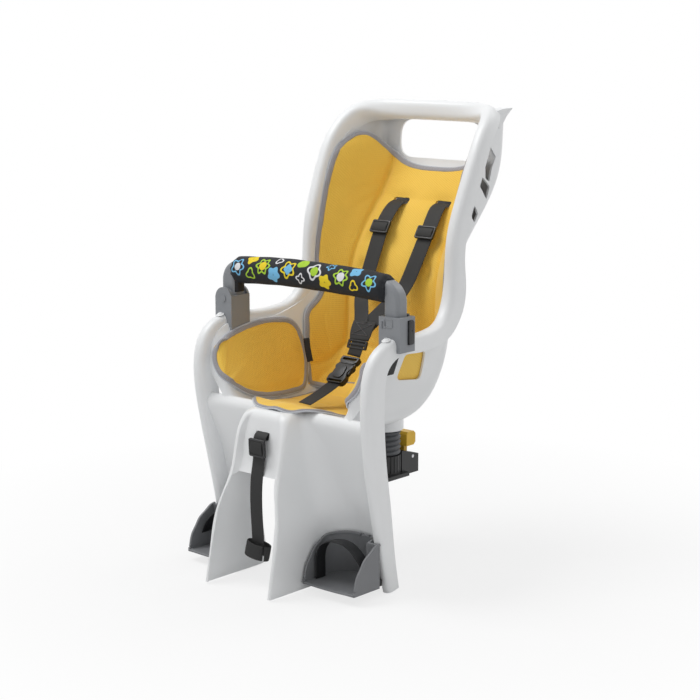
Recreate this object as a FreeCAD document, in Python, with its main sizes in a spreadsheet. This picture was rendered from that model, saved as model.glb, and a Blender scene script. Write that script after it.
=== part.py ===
"""Child bike seat: a moulded bucket seat on a sprung rack base, with its pads, harness, handrail and footrests.

Millimetres. +Z is up, the child faces -Y and +X is the child's left.
The origin is the centre of the rail shoe's underside, where the base rests on the rack.
"""
import FreeCAD, Part
import Sketcher
import math
import os
import re
from FreeCAD import Placement, Rotation, Vector

doc = FreeCAD.newDocument("child_bike_seat")

# Driving sizes: name, value, meaning
SIZES = [
    ("shell_wall", 4.0, "wall of the moulded shell"),
    ("rim_wall", 3.6, "wall of the rolled rim"),
    ("pan_height", 128.0, "underside of the seat pan above the rack face"),
    ("handle_half", 96.0, "half width of the carry handle opening"),
    ("handle_low", 567.0, "lower edge of the carry handle opening"),
    ("handle_high", 637.0, "upper edge of the carry handle opening"),
    ("strap_width", 33.0, "shoulder webbing"),
    ("strap_thick", 1.8, "thickness of all webbing"),
    ("strap_spacing", 96.0, "distance between the shoulder strap slots"),
    ("strap_slot_height", 492.0, "middle of the shoulder strap slots"),
    ("slot_play", 3.0, "room at each end of a webbing slot"),
    ("lock_thick", 5.0, "thickness of a ladder lock"),
    ("lock_gap", 0.8, "air between a ladder lock and its strap"),
    ("pad_gap", 0.5, "air between a pad and the shell"),
    ("pad_thick", 9.0, "thickness of the back pad"),
    ("seat_pad_thick", 22.0, "thickness of the seat pad"),
    ("pivot_back", 75.0, "suspension pivot in front of the origin"),
    ("pivot_height", 48.0, "suspension pivot above the rack face"),
    ("pin_radius", 5.0, "suspension pivot pin"),
    ("pin_play", 0.08, "radial clearance of every hinge pin"),
    ("ear_half", 34.0, "outside half width of the pivot ears"),
    ("ear_thick", 7.0, "thickness of a pivot ear"),
    ("side_play", 0.5, "side clearance of hinged pieces"),
    ("shoe_height", 14.0, "thickness of the base over the rail channel"),
    ("channel_rear", 42.0, "rear end of the thick part of the base"),
    ("rail_half", 14.0, "half width of the rail channel's mouth"),
    ("rail_deep", 7.0, "depth of the rail channel"),
    ("rail_lip", 4.0, "undercut of the rail channel"),
    ("lip_thick", 2.6, "lips of the rail channel"),
    ("ear_radius", 13.0, "rounded head of a pivot ear"),
    ("base_half", 36.0, "half width of the base"),
    ("base_front", 92.0, "front edge of the base"),
    ("base_rear", 104.0, "rear edge of the base plate"),
    ("base_thick", 7.0, "thickness of the base plate"),
    ("spring_back", 76.0, "suspension unit behind the origin"),
    ("cup_radius", 30.0, "ribbed spring cup"),
    ("cup_top", 41.0, "top of the spring cup"),
    ("cup_wall", 5.5, "wall of the spring cup"),
    ("flute_radius", 2.2, "flutes round a spring cup"),
    ("bellows_radius", 29.5, "crests of the rubber bellows"),
    ("bellows_fold", 4.2, "depth of a bellows fold"),
    ("bellows_wall", 1.6, "wall of the bellows"),
    ("bellows_top", 94.0, "top of the bellows"),
    ("collar_radius", 34.5, "shell collar round the suspension unit"),
    ("collar_top", 152.0, "closed top of the collar"),
    ("coil_radius", 17.0, "suspension spring, to the wire's middle"),
    ("coil_wire", 2.2, "radius of the suspension spring wire"),
    ("coil_turns", 6, "turns of the suspension spring"),
    ("lever_half", 19.5, "half width of the release lever"),
    ("lever_front", 115.5, "front of the release lever"),
    ("lever_rear", 141.0, "rear end of the release lever"),
    ("lever_top", 76.0, "top of the release lever"),
    ("lever_low", 50.0, "underside of the release lever"),
    ("lever_pivot_back", 126.0, "release lever pivot behind the origin"),
    ("lever_pivot_height", 31.0, "release lever pivot above the rack face"),
    ("lever_pin_radius", 3.0, "release lever pin"),
    ("neck_half", 8.0, "half width of the lever's neck"),
    ("neck_radius", 7.0, "boss of the lever's neck"),
    ("tower_half", 26.0, "half width of the lever housing"),
    ("tower_front", 84.0, "front of the lever housing"),
    ("tower_rear", 142.0, "rear of the lever housing"),
    ("tower_top", 46.0, "top of the lever housing"),
    ("tower_flat", 15.5, "level part of the lever housing's top"),
    ("tower_drop", 12.2, "fall of the lever housing's top to its rear"),
    ("lever_corner", 5.0, "chamfers of the release lever"),
    ("bar_radius", 24.0, "foam and fabric sleeve of the handrail"),
    ("bar_rise", 51.0, "handrail axis above its hinge, at the elbows"),
    ("leg_inset", 5.0, "handrail legs inside the middle of the armrests"),
    ("bar_forward", 120.0, "handrail legs in front of the origin"),
    ("leg_wide", 32.0, "handrail leg across"),
    ("leg_deep", 27.0, "handrail leg front to back"),
    ("hinge_rise", 20.0, "handrail hinge above the bracket floor"),
    ("rivet_radius", 4.0, "handrail hinge rivet"),
    ("bracket_wall", 4.0, "wall of the handrail brackets"),
    ("bracket_seat", 7.5, "floor of the handrail brackets above the armrests"),
    ("socket_deep", 28.0, "depth of the latch bracket's socket"),
    ("clevis_middle", 122.0, "middle of the hinge clevis in front of the origin"),
    ("clevis_half", 19.0, "half of the clear width between the clevis ears"),
    ("latch_length", 40.0, "latch button"),
    ("latch_drop", 18.0, "lower end of the latch button below the bracket floor"),
    ("latch_back", 112.0, "middle of the latch button in front of the origin"),
    ("latch_wide", 14.0, "width of the latch button"),
    ("rest_floor", 4.5, "floor of a footrest"),
    ("rest_wall", 4.0, "walls of a footrest"),
    ("rest_play", 0.8, "gap between a footrest and the leg guard"),
    ("buckle_width", 40.0, "harness buckle across"),
    ("buckle_thick", 12.0, "harness buckle thickness"),
    ("front_strap_width", 25.0, "front webbing"),
    ("foot_strap_width", 24.0, "foot strap"),
    ("foot_strap_thick", 2.2, "thickness of the foot strap"),
]
sheet = doc.addObject("Spreadsheet::Sheet", "Sizes")
for row, (alias, value, meaning) in enumerate(SIZES, start=1):
    sheet.set(f"A{row}", meaning)
    sheet.set(f"B{row}", str(value))
    sheet.setAlias(f"B{row}", alias)
doc.recompute()
WORDS = re.compile(r"\b(" + "|".join(alias for alias, value, meaning in SIZES) + r")\b")


def size(alias):
    """Value of a named size."""
    return float(sheet.get(alias))


def bound(formula):
    """A formula in the sheet's words, as an expression."""
    return WORDS.sub(r"Sizes.\1", str(formula))


# Parametric primitives and booleans

def bind(item, **formulas):
    for name, formula in formulas.items():
        item.setExpression(name.replace("__", "."), bound(formula))
    return item


def place(item, x=0, y=0, z=0):
    return bind(item, Placement__Base__x=x, Placement__Base__y=y, Placement__Base__z=z)


def box(name, length, width, height, x, y, z):
    """Box from its low corner."""
    item = doc.addObject("Part::Box", name)
    bind(item, Length=length, Width=width, Height=height)
    return place(item, x, y, z)


TURNS = {"x": Rotation(Vector(0, 1, 0), 90), "y": Rotation(Vector(1, 0, 0), -90), "z": Rotation()}


def rod(name, radius, length, x, y, z, along="z"):
    """Cylinder from its low end, along an axis of the frame."""
    item = doc.addObject("Part::Cylinder", name)
    item.Placement = Placement(Vector(), TURNS[along])
    bind(item, Radius=radius, Height=length)
    return place(item, x, y, z)


def fuse(name, *items):
    item = doc.addObject("Part::MultiFuse", name)
    item.Shapes = list(items)
    return item


def cut(name, base, *tools):
    item = doc.addObject("Part::Cut", name)
    item.Base = base
    item.Tool = tools[0] if len(tools) == 1 else fuse(name + "_tools", *tools)
    return item


def mirrored(name, item):
    """Copy on the other side of the seat."""
    other = doc.addObject("Part::Mirroring", name)
    other.Source = item
    other.Normal = Vector(1, 0, 0)
    return other


def formed(name, shape):
    """Free form: a feature whose shape is worked out below."""
    item = doc.addObject("Part::Feature", name)
    item.Shape = shape
    return item


NODES = []


def node(item, label):
    """Name a finished sub-part."""
    item.Label = label
    NODES.append(item)
    return item


# Sketched bodies

def origin_plane(body, role):
    for feature in body.Origin.OriginFeatures:
        if feature.Role == role:
            return feature
    raise ValueError(role)


def outline(body, role, corners):
    """Closed sketch of straight edges whose corners are formulas: each is held by two dimensions or an axis."""
    drawing = body.newObject("Sketcher::SketchObject", body.Name + "Outline")
    drawing.AttachmentSupport = [(origin_plane(body, role), "")]
    drawing.MapMode = "FlatFace"
    formulas = [[bound(formula) for formula in corner] for corner in corners]
    values = [[float(drawing.evalExpression(formula)) for formula in corner] for corner in formulas]
    count = len(corners)
    for index in range(count):
        start, end = values[index], values[(index + 1) % count]
        drawing.addGeometry(Part.LineSegment(Vector(*start, 0), Vector(*end, 0)), False)
    for index in range(count):
        drawing.addConstraint(Sketcher.Constraint("Coincident", index, 2, (index + 1) % count, 1))
        for kind, axis, formula, value in zip(("DistanceX", "DistanceY"), (-2, -1), formulas[index], values[index]):
            if value == 0:
                drawing.addConstraint(Sketcher.Constraint("PointOnObject", index, 1, axis))
            else:
                rule = drawing.addConstraint(Sketcher.Constraint(kind, -1, 1, index, 1, value))
                drawing.setExpression(f"Constraints[{rule}]", formula)
    return drawing


def side_body(name, corners, width):
    """Body with an outline of (y, z) formulas, padded evenly to both sides of the seat's middle."""
    body = doc.addObject("PartDesign::Body", name)
    feature = body.newObject("PartDesign::Pad", name + "Pad")
    feature.Profile = outline(body, "YZ_Plane", corners)
    feature.Midplane = True
    feature.setExpression("Length", bound(width))
    body.Tip = feature
    return body


def turned_body(name, corners, y):
    """Body with an outline of (radius, z) formulas, turned about an upright axis behind the origin."""
    body = doc.addObject("PartDesign::Body", name)
    drawing = outline(body, "XZ_Plane", corners)
    feature = body.newObject("PartDesign::Revolution", name + "Turned")
    feature.Profile = drawing
    feature.ReferenceAxis = (drawing, ["V_Axis"])
    feature.Angle = 360
    body.Tip = feature
    return bind(body, Placement__Base__y=y)


# Free forms

def smooth(values, steps):
    """A smooth function through values at the given steps."""
    curve = Part.BSplineCurve()
    curve.interpolate(Points=[Vector(step, value, 0) for step, value in zip(steps, values)], Parameters=steps)
    return lambda step: curve.value(step).y


def stations(table, count, travel):
    """Evenly spaced rows from a table; travel gives the distance between two of its rows."""
    steps = [0.0]
    for before, after in zip(table, table[1:]):
        steps.append(steps[-1] + travel(before, after))
    columns = [smooth(column, steps) for column in zip(*table)]
    return [[column(steps[-1] * index / (count - 1)) for column in columns] for index in range(count)]


def line(a, b):
    return Part.LineSegment(a, b).toShape()


def arc(a, middle, b):
    return Part.Arc(a, middle, b).toShape()


def prism(points, lift):
    """Straight-edged outline moved along a vector."""
    return Part.Face(Part.makePolygon(points + points[:1])).extrude(lift)


def side_prism(points, low, high):
    """Outline of (y, z) points, from x = low to x = high."""
    return prism([Vector(low, y, z) for y, z in points], Vector(high - low, 0, 0))


def front_prism(points, low, high):
    """Outline of (x, z) points, from y = low to y = high."""
    return prism([Vector(x, low, z) for x, z in points], Vector(0, high - low, 0))


def rounded_opening(low, high, radius, across="y"):
    """Box with its four long edges rounded, to cut an opening along the axis named by across."""
    shape = Part.makeBox(high.x - low.x, high.y - low.y, high.z - low.z, low)
    edges = [edge for edge in shape.Edges if abs(getattr(edge.tangentAt(edge.FirstParameter), across)) > 0.9]
    return shape.makeFillet(radius, edges)


def both_sides(shape):
    return [shape, shape.mirror(Vector(), Vector(1, 0, 0))]


# Shell: the tub is a U section carried along the seat's side line.
# Columns: back line y and z, rim y and z, half width, corner radius, half width at the rim.
TUB = [
    (238, 652, 186, 650, 148, 22, 149),
    (237, 612, 138, 604, 149, 25, 156),
    (231, 566, 112, 562, 150, 27, 158),
    (190, 494, 85, 488, 150, 30, 155),
    (135, 424, 69, 424, 150, 38, 154),
    (105, 325, 60, 354, 150, 50, 156),
    (88, 205, 24, 312, 146, 60, 162),
    (40, 136, -26, 294, 134, 58, 169),
    (-60, 128, -70, 291, 132, 52, 174),
    (-150, 143, -150, 289, 138, 46, 181),
    (-196, 158, -186, 252, 146, 40, 184),
    (-205, 140, -188, 212, 152, 34, 184),
]
TUB_STATIONS = 16


class TubFrame:
    """Places in one cross-section of the tub: x across, height from the back line towards the rim."""

    def __init__(self, row):
        back_y, back_z, rim_y, rim_z, self.half, corner, self.rim_half = row
        self.base = Vector(0, back_y, back_z)
        self.rise = Vector(0, rim_y - back_y, rim_z - back_z)
        self.length = self.rise.Length
        self.rise.normalize()
        self.corner = min(corner, self.length - 8)

    def at(self, x, height):
        return self.base + Vector(x, 0, 0) + self.rise * height

    def side(self, height, inset):
        """Half width of the side wall at a height, less an inset."""
        share = (height - self.corner) / (self.length - self.corner)
        return self.half + (self.rim_half - self.half) * share - inset

    def bend(self, side, inset):
        """Middle of the rounded corner, inset from the outside."""
        radius = (self.corner - inset) * SLANT
        return self.at(side * (self.half - self.corner + radius), self.corner - radius)


SLANT = math.sqrt(0.5)


def tub_section(row, wall):
    """Closed U section of the tub."""
    frame = TubFrame(row)
    at, half, corner, length = frame.at, frame.half, frame.corner, frame.length
    rim_half, flat = frame.rim_half, frame.half - frame.corner
    return Part.Wire([
        line(at(-flat, 0), at(flat, 0)),
        arc(at(flat, 0), frame.bend(1, 0), at(half, corner)),
        line(at(half, corner), at(rim_half, length)),
        line(at(rim_half, length), at(rim_half - wall, length)),
        line(at(rim_half - wall, length), at(half - wall, corner)),
        arc(at(half - wall, corner), frame.bend(1, wall), at(flat, wall)),
        line(at(flat, wall), at(-flat, wall)),
        arc(at(-flat, wall), frame.bend(-1, wall), at(wall - half, corner)),
        line(at(wall - half, corner), at(wall - rim_half, length)),
        line(at(wall - rim_half, length), at(-rim_half, length)),
        line(at(-rim_half, length), at(-half, corner)),
        arc(at(-half, corner), frame.bend(-1, 0), at(-flat, 0)),
    ])


def tub_travel(before, after):
    back = math.hypot(before[0] - after[0], before[1] - after[1])
    rim = math.hypot(before[2] - after[2], before[3] - after[3])
    return 0.6 * back + 0.4 * rim


TUB_ROWS = stations(TUB, TUB_STATIONS, tub_travel)


def back_line(z):
    """y of the tub's back at a height."""
    upright = [row for row in TUB_ROWS if row[0] > 60]
    for upper, lower in zip(upright, upright[1:]):
        if lower[1] <= z <= upper[1]:
            share = (z - lower[1]) / (upper[1] - lower[1])
            return lower[0] + share * (upper[0] - lower[0])
    raise ValueError(z)


def tub():
    return Part.makeLoft([tub_section(row, size("shell_wall")) for row in TUB_ROWS], True, True)


# Rolled rim of one side, from the foot of the leg guard over the armrest and wing to the top bar.
# Columns: x, y, z, half width across, half depth front to back.
RIM = [
    (190, -134, -124, 9.5, 12.5),
    (187, -146, -60, 10.5, 15),
    (187, -158, 10, 11.5, 17),
    (188, -172, 80, 12, 18.5),
    (191, -184, 150, 12.5, 19.5),
    (194, -189, 215, 13, 20),
    (194, -176, 268, 13, 18.5),
    (193, -138, 291, 13, 15.5),
    (188, -84, 291, 13, 15),
    (182, -30, 291, 13, 15.5),
    (174, 20, 303, 13.5, 17),
    (168, 54, 342, 14, 20),
    (166, 66, 392, 14, 22),
    (166, 70, 444, 14, 22),
    (168, 90, 508, 14, 22),
    (170, 116, 570, 14, 21.5),
    (165, 148, 622, 14, 20),
    (148, 184, 650, 15, 18),
    (112, 206, 656, 17, 15),
    (56, 217, 656, 18, 14),
    (0, 219, 656, 18, 13.5),
]
RIM_STATIONS = 28
RIM_CORNER = 10

# Places that follow from the armrest under the handrail brackets
ARMREST = RIM[7]
BAR_HALF = ARMREST[0] - size("leg_inset")
BRACKET_FLOOR = ARMREST[2] + ARMREST[4] + size("bracket_seat")
BRACKET_TOP = BRACKET_FLOOR + size("socket_deep")
HINGE_HEIGHT = BRACKET_FLOOR + size("hinge_rise")
BAR_HEIGHT = HINGE_HEIGHT + size("bar_rise")
LATCH_LOW = BRACKET_FLOOR - size("latch_drop")


def rim_section(centre, forward, half, depth, push, radius):
    """Rounded section; its open side looks back on the wings and posts and down on the armrests."""
    open_side = Vector(0, forward.z + abs(forward.x), -forward.y)
    across = forward.cross(open_side)
    across.normalize()
    open_side = across.cross(forward)
    open_side.normalize()
    radius = min(radius, half - 1, depth - 1)
    bite = radius * (1 - SLANT)
    edges = []
    quarter = [(half, depth, 1, 1), (half, depth, -1, 1), (half, depth, -1, -1), (half, depth, 1, -1)]

    def at(a, b):
        return centre + across * a + open_side * (b + push)

    ends = []
    for wide, tall, right, up in quarter:
        side_end = at(right * wide, up * (tall - radius))
        flat_end = at(right * (wide - radius), up * tall)
        middle = at(right * (wide - bite), up * (tall - bite))
        ends.append((side_end, middle, flat_end) if right * up > 0 else (flat_end, middle, side_end))
    for index, (start, middle, end) in enumerate(ends):
        edges.append(arc(start, middle, end))
        edges.append(line(end, ends[(index + 1) % 4][0]))
    return Part.Wire(edges)


def rim_loft(rows, shrink=0.0, open_by=0.0):
    """Loft the rim; a positive shrink and opening give the tool that hollows it from its open side."""
    wires = []
    for index, row in enumerate(rows):
        before, after = rows[max(index - 1, 0)], rows[min(index + 1, len(rows) - 1)]
        forward = Vector(*after[:3]) - Vector(*before[:3])
        if index == len(rows) - 1:
            forward = Vector(-1, 0, 0)
        forward.normalize()
        half, depth = row[3] - shrink, row[4] - shrink + open_by / 2
        wires.append(rim_section(Vector(*row[:3]), forward, half, depth, open_by / 2, RIM_CORNER - shrink))
    return Part.makeLoft(wires, True, True)


def rim_travel(before, after):
    return math.dist(before[:3], after[:3])


RIM_ROWS = stations(RIM, RIM_STATIONS, rim_travel)


def rim():
    wall = size("rim_wall")
    return rim_loft(RIM_ROWS).cut(rim_loft(RIM_ROWS[1:], wall, wall + 6))


# Leg guards and the hollow horn between the child's legs, one half.
# Columns: z, half width of the horn, its front face, ridge depth, front corner radius,
# front face of the leg wall, radius from the horn to the leg wall.
HORN = [
    (-124, 77, -308, 0.5, 3, -122, 62),
    (-60, 76, -296, 0.5, 3, -135, 60),
    (0, 73, -284, 0.5, 3, -148, 56),
    (40, 62, -274, 3, 4, -157, 52),
    (72, 57, -264, 9, 5, -165, 46),
    (112, 57, -255, 9, 6, -180, 36),
    (146, 56, -247, 7, 8, -194, 22),
    (164, 53, -241, 4, 10, -200, 14),
    (178, 46, -230, 1, 12, -200, 12),
]
WALL_END = 184.0
HORN_STATIONS = 12


def horn_section(row, wall):
    z, half, front, ridge, corner, back, radius = row
    centre_x, centre_y = half + radius, back - radius
    ridge_x = half - corner - 7
    inner = radius + wall

    def at(x, y):
        return Vector(x, y, z)

    return Part.Wire([
        line(at(0, front + ridge), at(ridge_x, front + ridge)),
        line(at(ridge_x, front + ridge), at(ridge_x + 4, front)),
        line(at(ridge_x + 4, front), at(half - corner, front)),
        arc(at(half - corner, front), at(half - corner * (1 - SLANT), front + corner * (1 - SLANT)),
            at(half, front + corner)),
        line(at(half, front + corner), at(half, centre_y)),
        arc(at(half, centre_y), at(centre_x - radius * SLANT, centre_y + radius * SLANT), at(centre_x, back)),
        line(at(centre_x, back), at(WALL_END, back)),
        line(at(WALL_END, back), at(WALL_END, back + wall)),
        line(at(WALL_END, back + wall), at(centre_x, back + wall)),
        arc(at(centre_x, back + wall), at(centre_x - inner * SLANT, centre_y + inner * SLANT),
            at(half - wall, centre_y)),
        line(at(half - wall, centre_y), at(half - wall, front + ridge + wall)),
        line(at(half - wall, front + ridge + wall), at(0, front + ridge + wall)),
        line(at(0, front + ridge + wall), at(0, front + ridge)),
    ])


def leg_guard():
    rows = stations(HORN, HORN_STATIONS, lambda before, after: after[0] - before[0])
    wall = size("shell_wall")
    half = Part.makeLoft([horn_section(row, wall) for row in rows], True, True)
    beside = Part.makeBox(160, 160, 80, Vector(58.5, -235, 154))
    above = side_prism([(-232, 190), (-226, 177.5), (-196, 166), (-190, 154), (-100, 152), (-100, 240), (-232, 240)],
                       -1, 230)
    half = half.cut(Part.makeCompound([beside, above]))
    top = side_prism([(-229, 172), (-229, 176.5), (-198, 165), (-180, 153), (-184, 149), (-201, 161)], 0, 47)
    return half.fuse(top)


# The way through under the horn, between the two inner panels
TUNNEL = [(71, -140), (70.5, -60), (67, 0), (60, 28), (53, 48), (50, 60), (42, 67)]


def tunnel():
    left = [(-x, z) for x, z in reversed(TUNNEL)]
    return front_prism(TUNNEL + left, -340, -215)


# Side windows under the armrests, (y, z) outlines
REAR_WINDOW = [(-70, 226), (-66, 266), (-8, 264), (-2, 258), (2, 216), (-4, 211), (-62, 219)]
FRONT_WINDOW = [(-134, 240), (-120, 264), (-101, 266), (-103, 236), (-126, 232)]
# Vents beside the back: centre y and z, half width, half height
VENTS = [(178, 585, 9, 16), (158, 528, 9, 14), (130, 485, 8, 13)]


def vent(y, z, half, tall):
    points = [(y - half, z - 2), (y - half * 0.3, z + tall), (y + half, z + 3), (y + half * 0.3, z - tall)]
    return side_prism(points, 120, 200)


def slot(x, z, length, tall, low, high):
    """Rounded slot through a wall, along y."""
    return rounded_opening(Vector(x - length / 2, low, z - tall / 2), Vector(x + length / 2, high, z + tall / 2),
                           tall * 0.35)


def tub_room():
    """Space just inside the tub's lower back and floor, so that the collar stops at them."""
    wall, tall = size("shell_wall"), 60
    wires = []
    for row in TUB_ROWS:
        frame = TubFrame(row)
        reach = frame.half - frame.corner
        if row[1] < 330 and row[0] > -120:
            corners = [(-reach, wall), (reach, wall), (reach, tall), (-reach, tall), (-reach, wall)]
            wires.append(Part.makePolygon([frame.at(x, height) for x, height in corners]))
    return Part.makeLoft(wires, True, True)


def collar():
    """Cup of the shell round the top of the suspension, closed above."""
    wall, low = size("shell_wall"), size("bellows_top") - 6
    centre = Vector(0, size("spring_back"), low)
    outer = Part.makeCylinder(size("collar_radius"), size("collar_top") - low, centre)
    inner = Part.makeCylinder(size("collar_radius") - wall, size("collar_top") - low - wall, centre)
    return outer.cut([inner, tub_room()])


def seat_shell():
    solid = tub().fuse(both_sides(rim()) + both_sides(leg_guard()) + [collar()])
    tools = [tunnel()]
    for window in (REAR_WINDOW, FRONT_WINDOW):
        tools += both_sides(side_prism(window, 120, 174))
    for place_of in VENTS:
        tools += both_sides(vent(*place_of))
    handle_half = size("handle_half")
    tools.append(rounded_opening(Vector(-handle_half, 195, size("handle_low")),
                                 Vector(handle_half, 270, size("handle_high")), 26))
    slot_length = size("strap_width") + 2 * size("slot_play")
    for side in (-1, 1):
        x = side * size("strap_spacing") / 2
        tools.append(slot(x, size("strap_slot_height"), slot_length, 12, 160, 220))
    front_length = size("front_strap_width") + 2 * size("slot_play")
    tools.append(slot(0, 132, front_length, 14, -265, -220))
    return solid.cut(tools)


SHELL_SHAPE = seat_shell()
node(formed("SeatShell", SHELL_SHAPE), "seat_shell")


# Rack base: plate with the rail channel, pivot ears and lever housing

plate = side_body("Plate", [("-base_front", "0"), ("base_rear", "0"), ("base_rear", "base_thick"),
                            ("channel_rear", "base_thick"), ("channel_rear", "shoe_height"),
                            ("-base_front", "shoe_height")], "2 * base_half")
ears = []
for name, low in (("RightEar", "ear_half - ear_thick"), ("LeftEar", "-ear_half")):
    post = box(name + "Post", "ear_thick", "2 * ear_radius", "pivot_height", low, "-pivot_back - ear_radius", 0)
    head = rod(name + "Head", "ear_radius", "ear_thick", low, "-pivot_back", "pivot_height", "x")
    ears += [post, head]
tower = side_body("Tower", [("tower_front", "0"), ("tower_rear", "0"), ("tower_rear", "tower_top - tower_drop"),
                            ("tower_front + tower_flat", "tower_top"), ("tower_front", "tower_top")],
                  "2 * tower_half")
cup_room = rod("CupRoom", "cup_radius + 1.6", "tower_top", 0, "spring_back", "base_thick")
neck_room = box("NeckRoom", "2 * neck_half + 2 * side_play", "tower_rear", "tower_top",
                "-neck_half - side_play", "lever_pivot_back - neck_radius - 4", "base_thick + 8")
channel = box("Channel", "2 * rail_half", "base_front + channel_rear", "rail_deep", "-rail_half", "-base_front - 1", "-1")
bind(channel, Height="rail_deep + 1", Width="base_front + channel_rear - 6")
lips = box("ChannelLips", "2 * rail_half + 2 * rail_lip", "base_front + channel_rear - 6", "rail_deep - lip_thick",
           "-rail_half - rail_lip", "-base_front - 1", "lip_thick")
pivot_bore = rod("PivotBore", "pin_radius", "2 * ear_half + 2", "-ear_half - 1", "-pivot_back", "pivot_height", "x")
lever_bore = rod("LeverBore", "lever_pin_radius", "2 * tower_half + 2", "-tower_half - 1", "lever_pivot_back",
                 "lever_pivot_height", "x")
base = cut("MountingBase", fuse("BaseSolid", plate, *ears, tower), cup_room, neck_room, channel, lips, pivot_bore, lever_bore)
node(base, "mounting_base")

node(rod("PivotPin", "pin_radius", "2 * ear_half", "-ear_half", "-pivot_back", "pivot_height", "x"), "pivot_pin")
node(rod("LeverPin", "lever_pin_radius", "2 * tower_half", "-tower_half", "lever_pivot_back",
         "lever_pivot_height", "x"), "lever_pin")

cup = turned_body("Cup", [("0", "base_thick"), ("cup_radius", "base_thick"), ("cup_radius", "cup_top"),
                          ("cup_radius - cup_wall", "cup_top"), ("cup_radius - cup_wall", "base_thick + cup_wall"),
                          ("0", "base_thick + cup_wall")], "spring_back")
flutes = []
for index in range(24):
    turn = math.radians(15 * index)
    flute = rod(f"Flute{index}", "flute_radius", "cup_top", f"(cup_radius + 0.8) * {math.cos(turn):.4f}",
                f"spring_back + (cup_radius + 0.8) * {math.sin(turn):.4f}", "base_thick + 3")
    flutes.append(flute)
node(cut("SpringCup", cup, *flutes), "spring_cup")


# Release lever on its pin, free to turn in the housing

lever_head = side_body("LeverHead", [("lever_front", "lever_low"), ("lever_rear - lever_corner", "lever_low"),
                                     ("lever_rear", "lever_low + lever_corner"),
                                     ("lever_rear", "lever_top - lever_corner"),
                                     ("lever_rear - lever_corner", "lever_top"), ("lever_front", "lever_top")],
                       "2 * lever_half")
lever_neck = box("LeverNeck", "2 * neck_half", "1.3 * neck_radius", "lever_low - lever_pivot_height + 2",
                 "-neck_half", "lever_pivot_back - 0.65 * neck_radius", "lever_pivot_height")
lever_boss = rod("LeverBoss", "neck_radius", "2 * neck_half", "-neck_half", "lever_pivot_back",
                 "lever_pivot_height", "x")
finger_dip = rod("FingerDip", 26, "2 * lever_half + 2", "-lever_half - 1", "lever_front - 20", "lever_top + 12", "x")
lever_hole = rod("LeverHole", "lever_pin_radius + pin_play", "2 * neck_half + 2", "-neck_half - 1",
                 "lever_pivot_back", "lever_pivot_height", "x")
node(cut("ReleaseLever", fuse("LeverSolid", lever_head, lever_neck, lever_boss), finger_dip, lever_hole),
     "release_lever")


# Suspension spring and its rubber boot

def coil(radius, wire, low, high, turns, centre):
    """Round wire wound upwards from low to high."""
    helix = Part.makeHelix((high - low) / turns, high - low, radius)
    ring = Part.Wire([Part.Circle(Vector(radius, 0, 0), Vector(0, 1, 0), wire).toShape()])
    shape = Part.Wire(helix.Edges).makePipeShell([ring], True, True)
    shape.translate(Vector(*centre, low))
    return shape


cup_floor = size("base_thick") + size("cup_wall")
spring_top = size("collar_top") - size("shell_wall")
wire = size("coil_wire")
spring = coil(size("coil_radius"), wire, cup_floor + wire + 0.4, spring_top - wire - 0.4, size("coil_turns"),
              (0, size("spring_back")))
node(formed("SuspensionSpring", spring), "suspension_spring")


def bellows():
    """Folded boot from the cup's edge to the collar's edge."""
    low, high = size("cup_top"), size("bellows_top") - 6
    outer, fold, wall = size("bellows_radius"), size("bellows_fold"), size("bellows_wall")
    count = 6
    pitch = (high - low) / count
    outside = [(outer - fold, low)]
    for index in range(count):
        outside.append((outer, low + pitch * (index + 0.5)))
        outside.append((outer - fold, low + pitch * (index + 1)))
    inside = [(radius - wall, height) for radius, height in reversed(outside)]
    points = [Vector(radius, 0, height) for radius, height in outside + inside]
    face = Part.Face(Part.makePolygon(points + points[:1]))
    shape = face.revolve(Vector(), Vector(0, 0, 1), 360)
    for edge_z, reach in ((low, outer), (high - wall, size("collar_radius") - 1)):
        ring = Part.makeCylinder(reach, wall, Vector(0, 0, edge_z))
        shape = shape.fuse(ring.cut(Part.makeCylinder(outer - fold - wall, wall, Vector(0, 0, edge_z))))
    shape.translate(Vector(0, size("spring_back"), 0))
    return shape


node(formed("Bellows", bellows()), "bellows")


# Pivot bracket under the pan, fitted to the shell

pan_plate = Part.makeBox(60, 60, 14, Vector(-30, -105, size("pan_height") - 10))
web_half = size("ear_half") - size("ear_thick") - size("side_play")
pivot = Vector(-web_half, -size("pivot_back"), size("pivot_height"))
web = Part.makeBox(2 * web_half, 24, size("pan_height") - 6 - pivot.z, pivot + Vector(0, -12, 0))
knuckle = Part.makeCylinder(12, 2 * web_half, pivot, Vector(1, 0, 0))
bore = Part.makeCylinder(size("pin_radius") + size("pin_play"), 2 * web_half, pivot, Vector(1, 0, 0))
bracket = pan_plate.fuse([web, knuckle]).cut([bore, SHELL_SHAPE])
bracket = max(bracket.Solids, key=lambda solid: solid.Volume)
node(formed("PivotBracket", bracket), "pivot_bracket")


# Handrail: one bent tube from the hinge on the child's right to the latch on the left

def rounded_section(centre, across, along, wide, tall, radius):
    """Closed rounded rectangle."""
    def at(a, b):
        return centre + across * a + along * b

    half, high, bite = wide / 2, tall / 2, radius * (1 - SLANT)
    corners = [(1, 1), (-1, 1), (-1, -1), (1, -1)]
    edges = []
    ends = []
    for right, up in corners:
        side_end = at(right * half, up * (high - radius))
        flat_end = at(right * (half - radius), up * high)
        middle = at(right * (half - bite), up * (high - bite))
        ends.append((side_end, middle, flat_end) if right * up > 0 else (flat_end, middle, side_end))
    for index, (start, middle, end) in enumerate(ends):
        edges.append(arc(start, middle, end))
        edges.append(line(end, ends[(index + 1) % 4][0]))
    return Part.Wire(edges)


RAIL_SLOPE = math.radians(4)
ELBOW = 20.0


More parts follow.
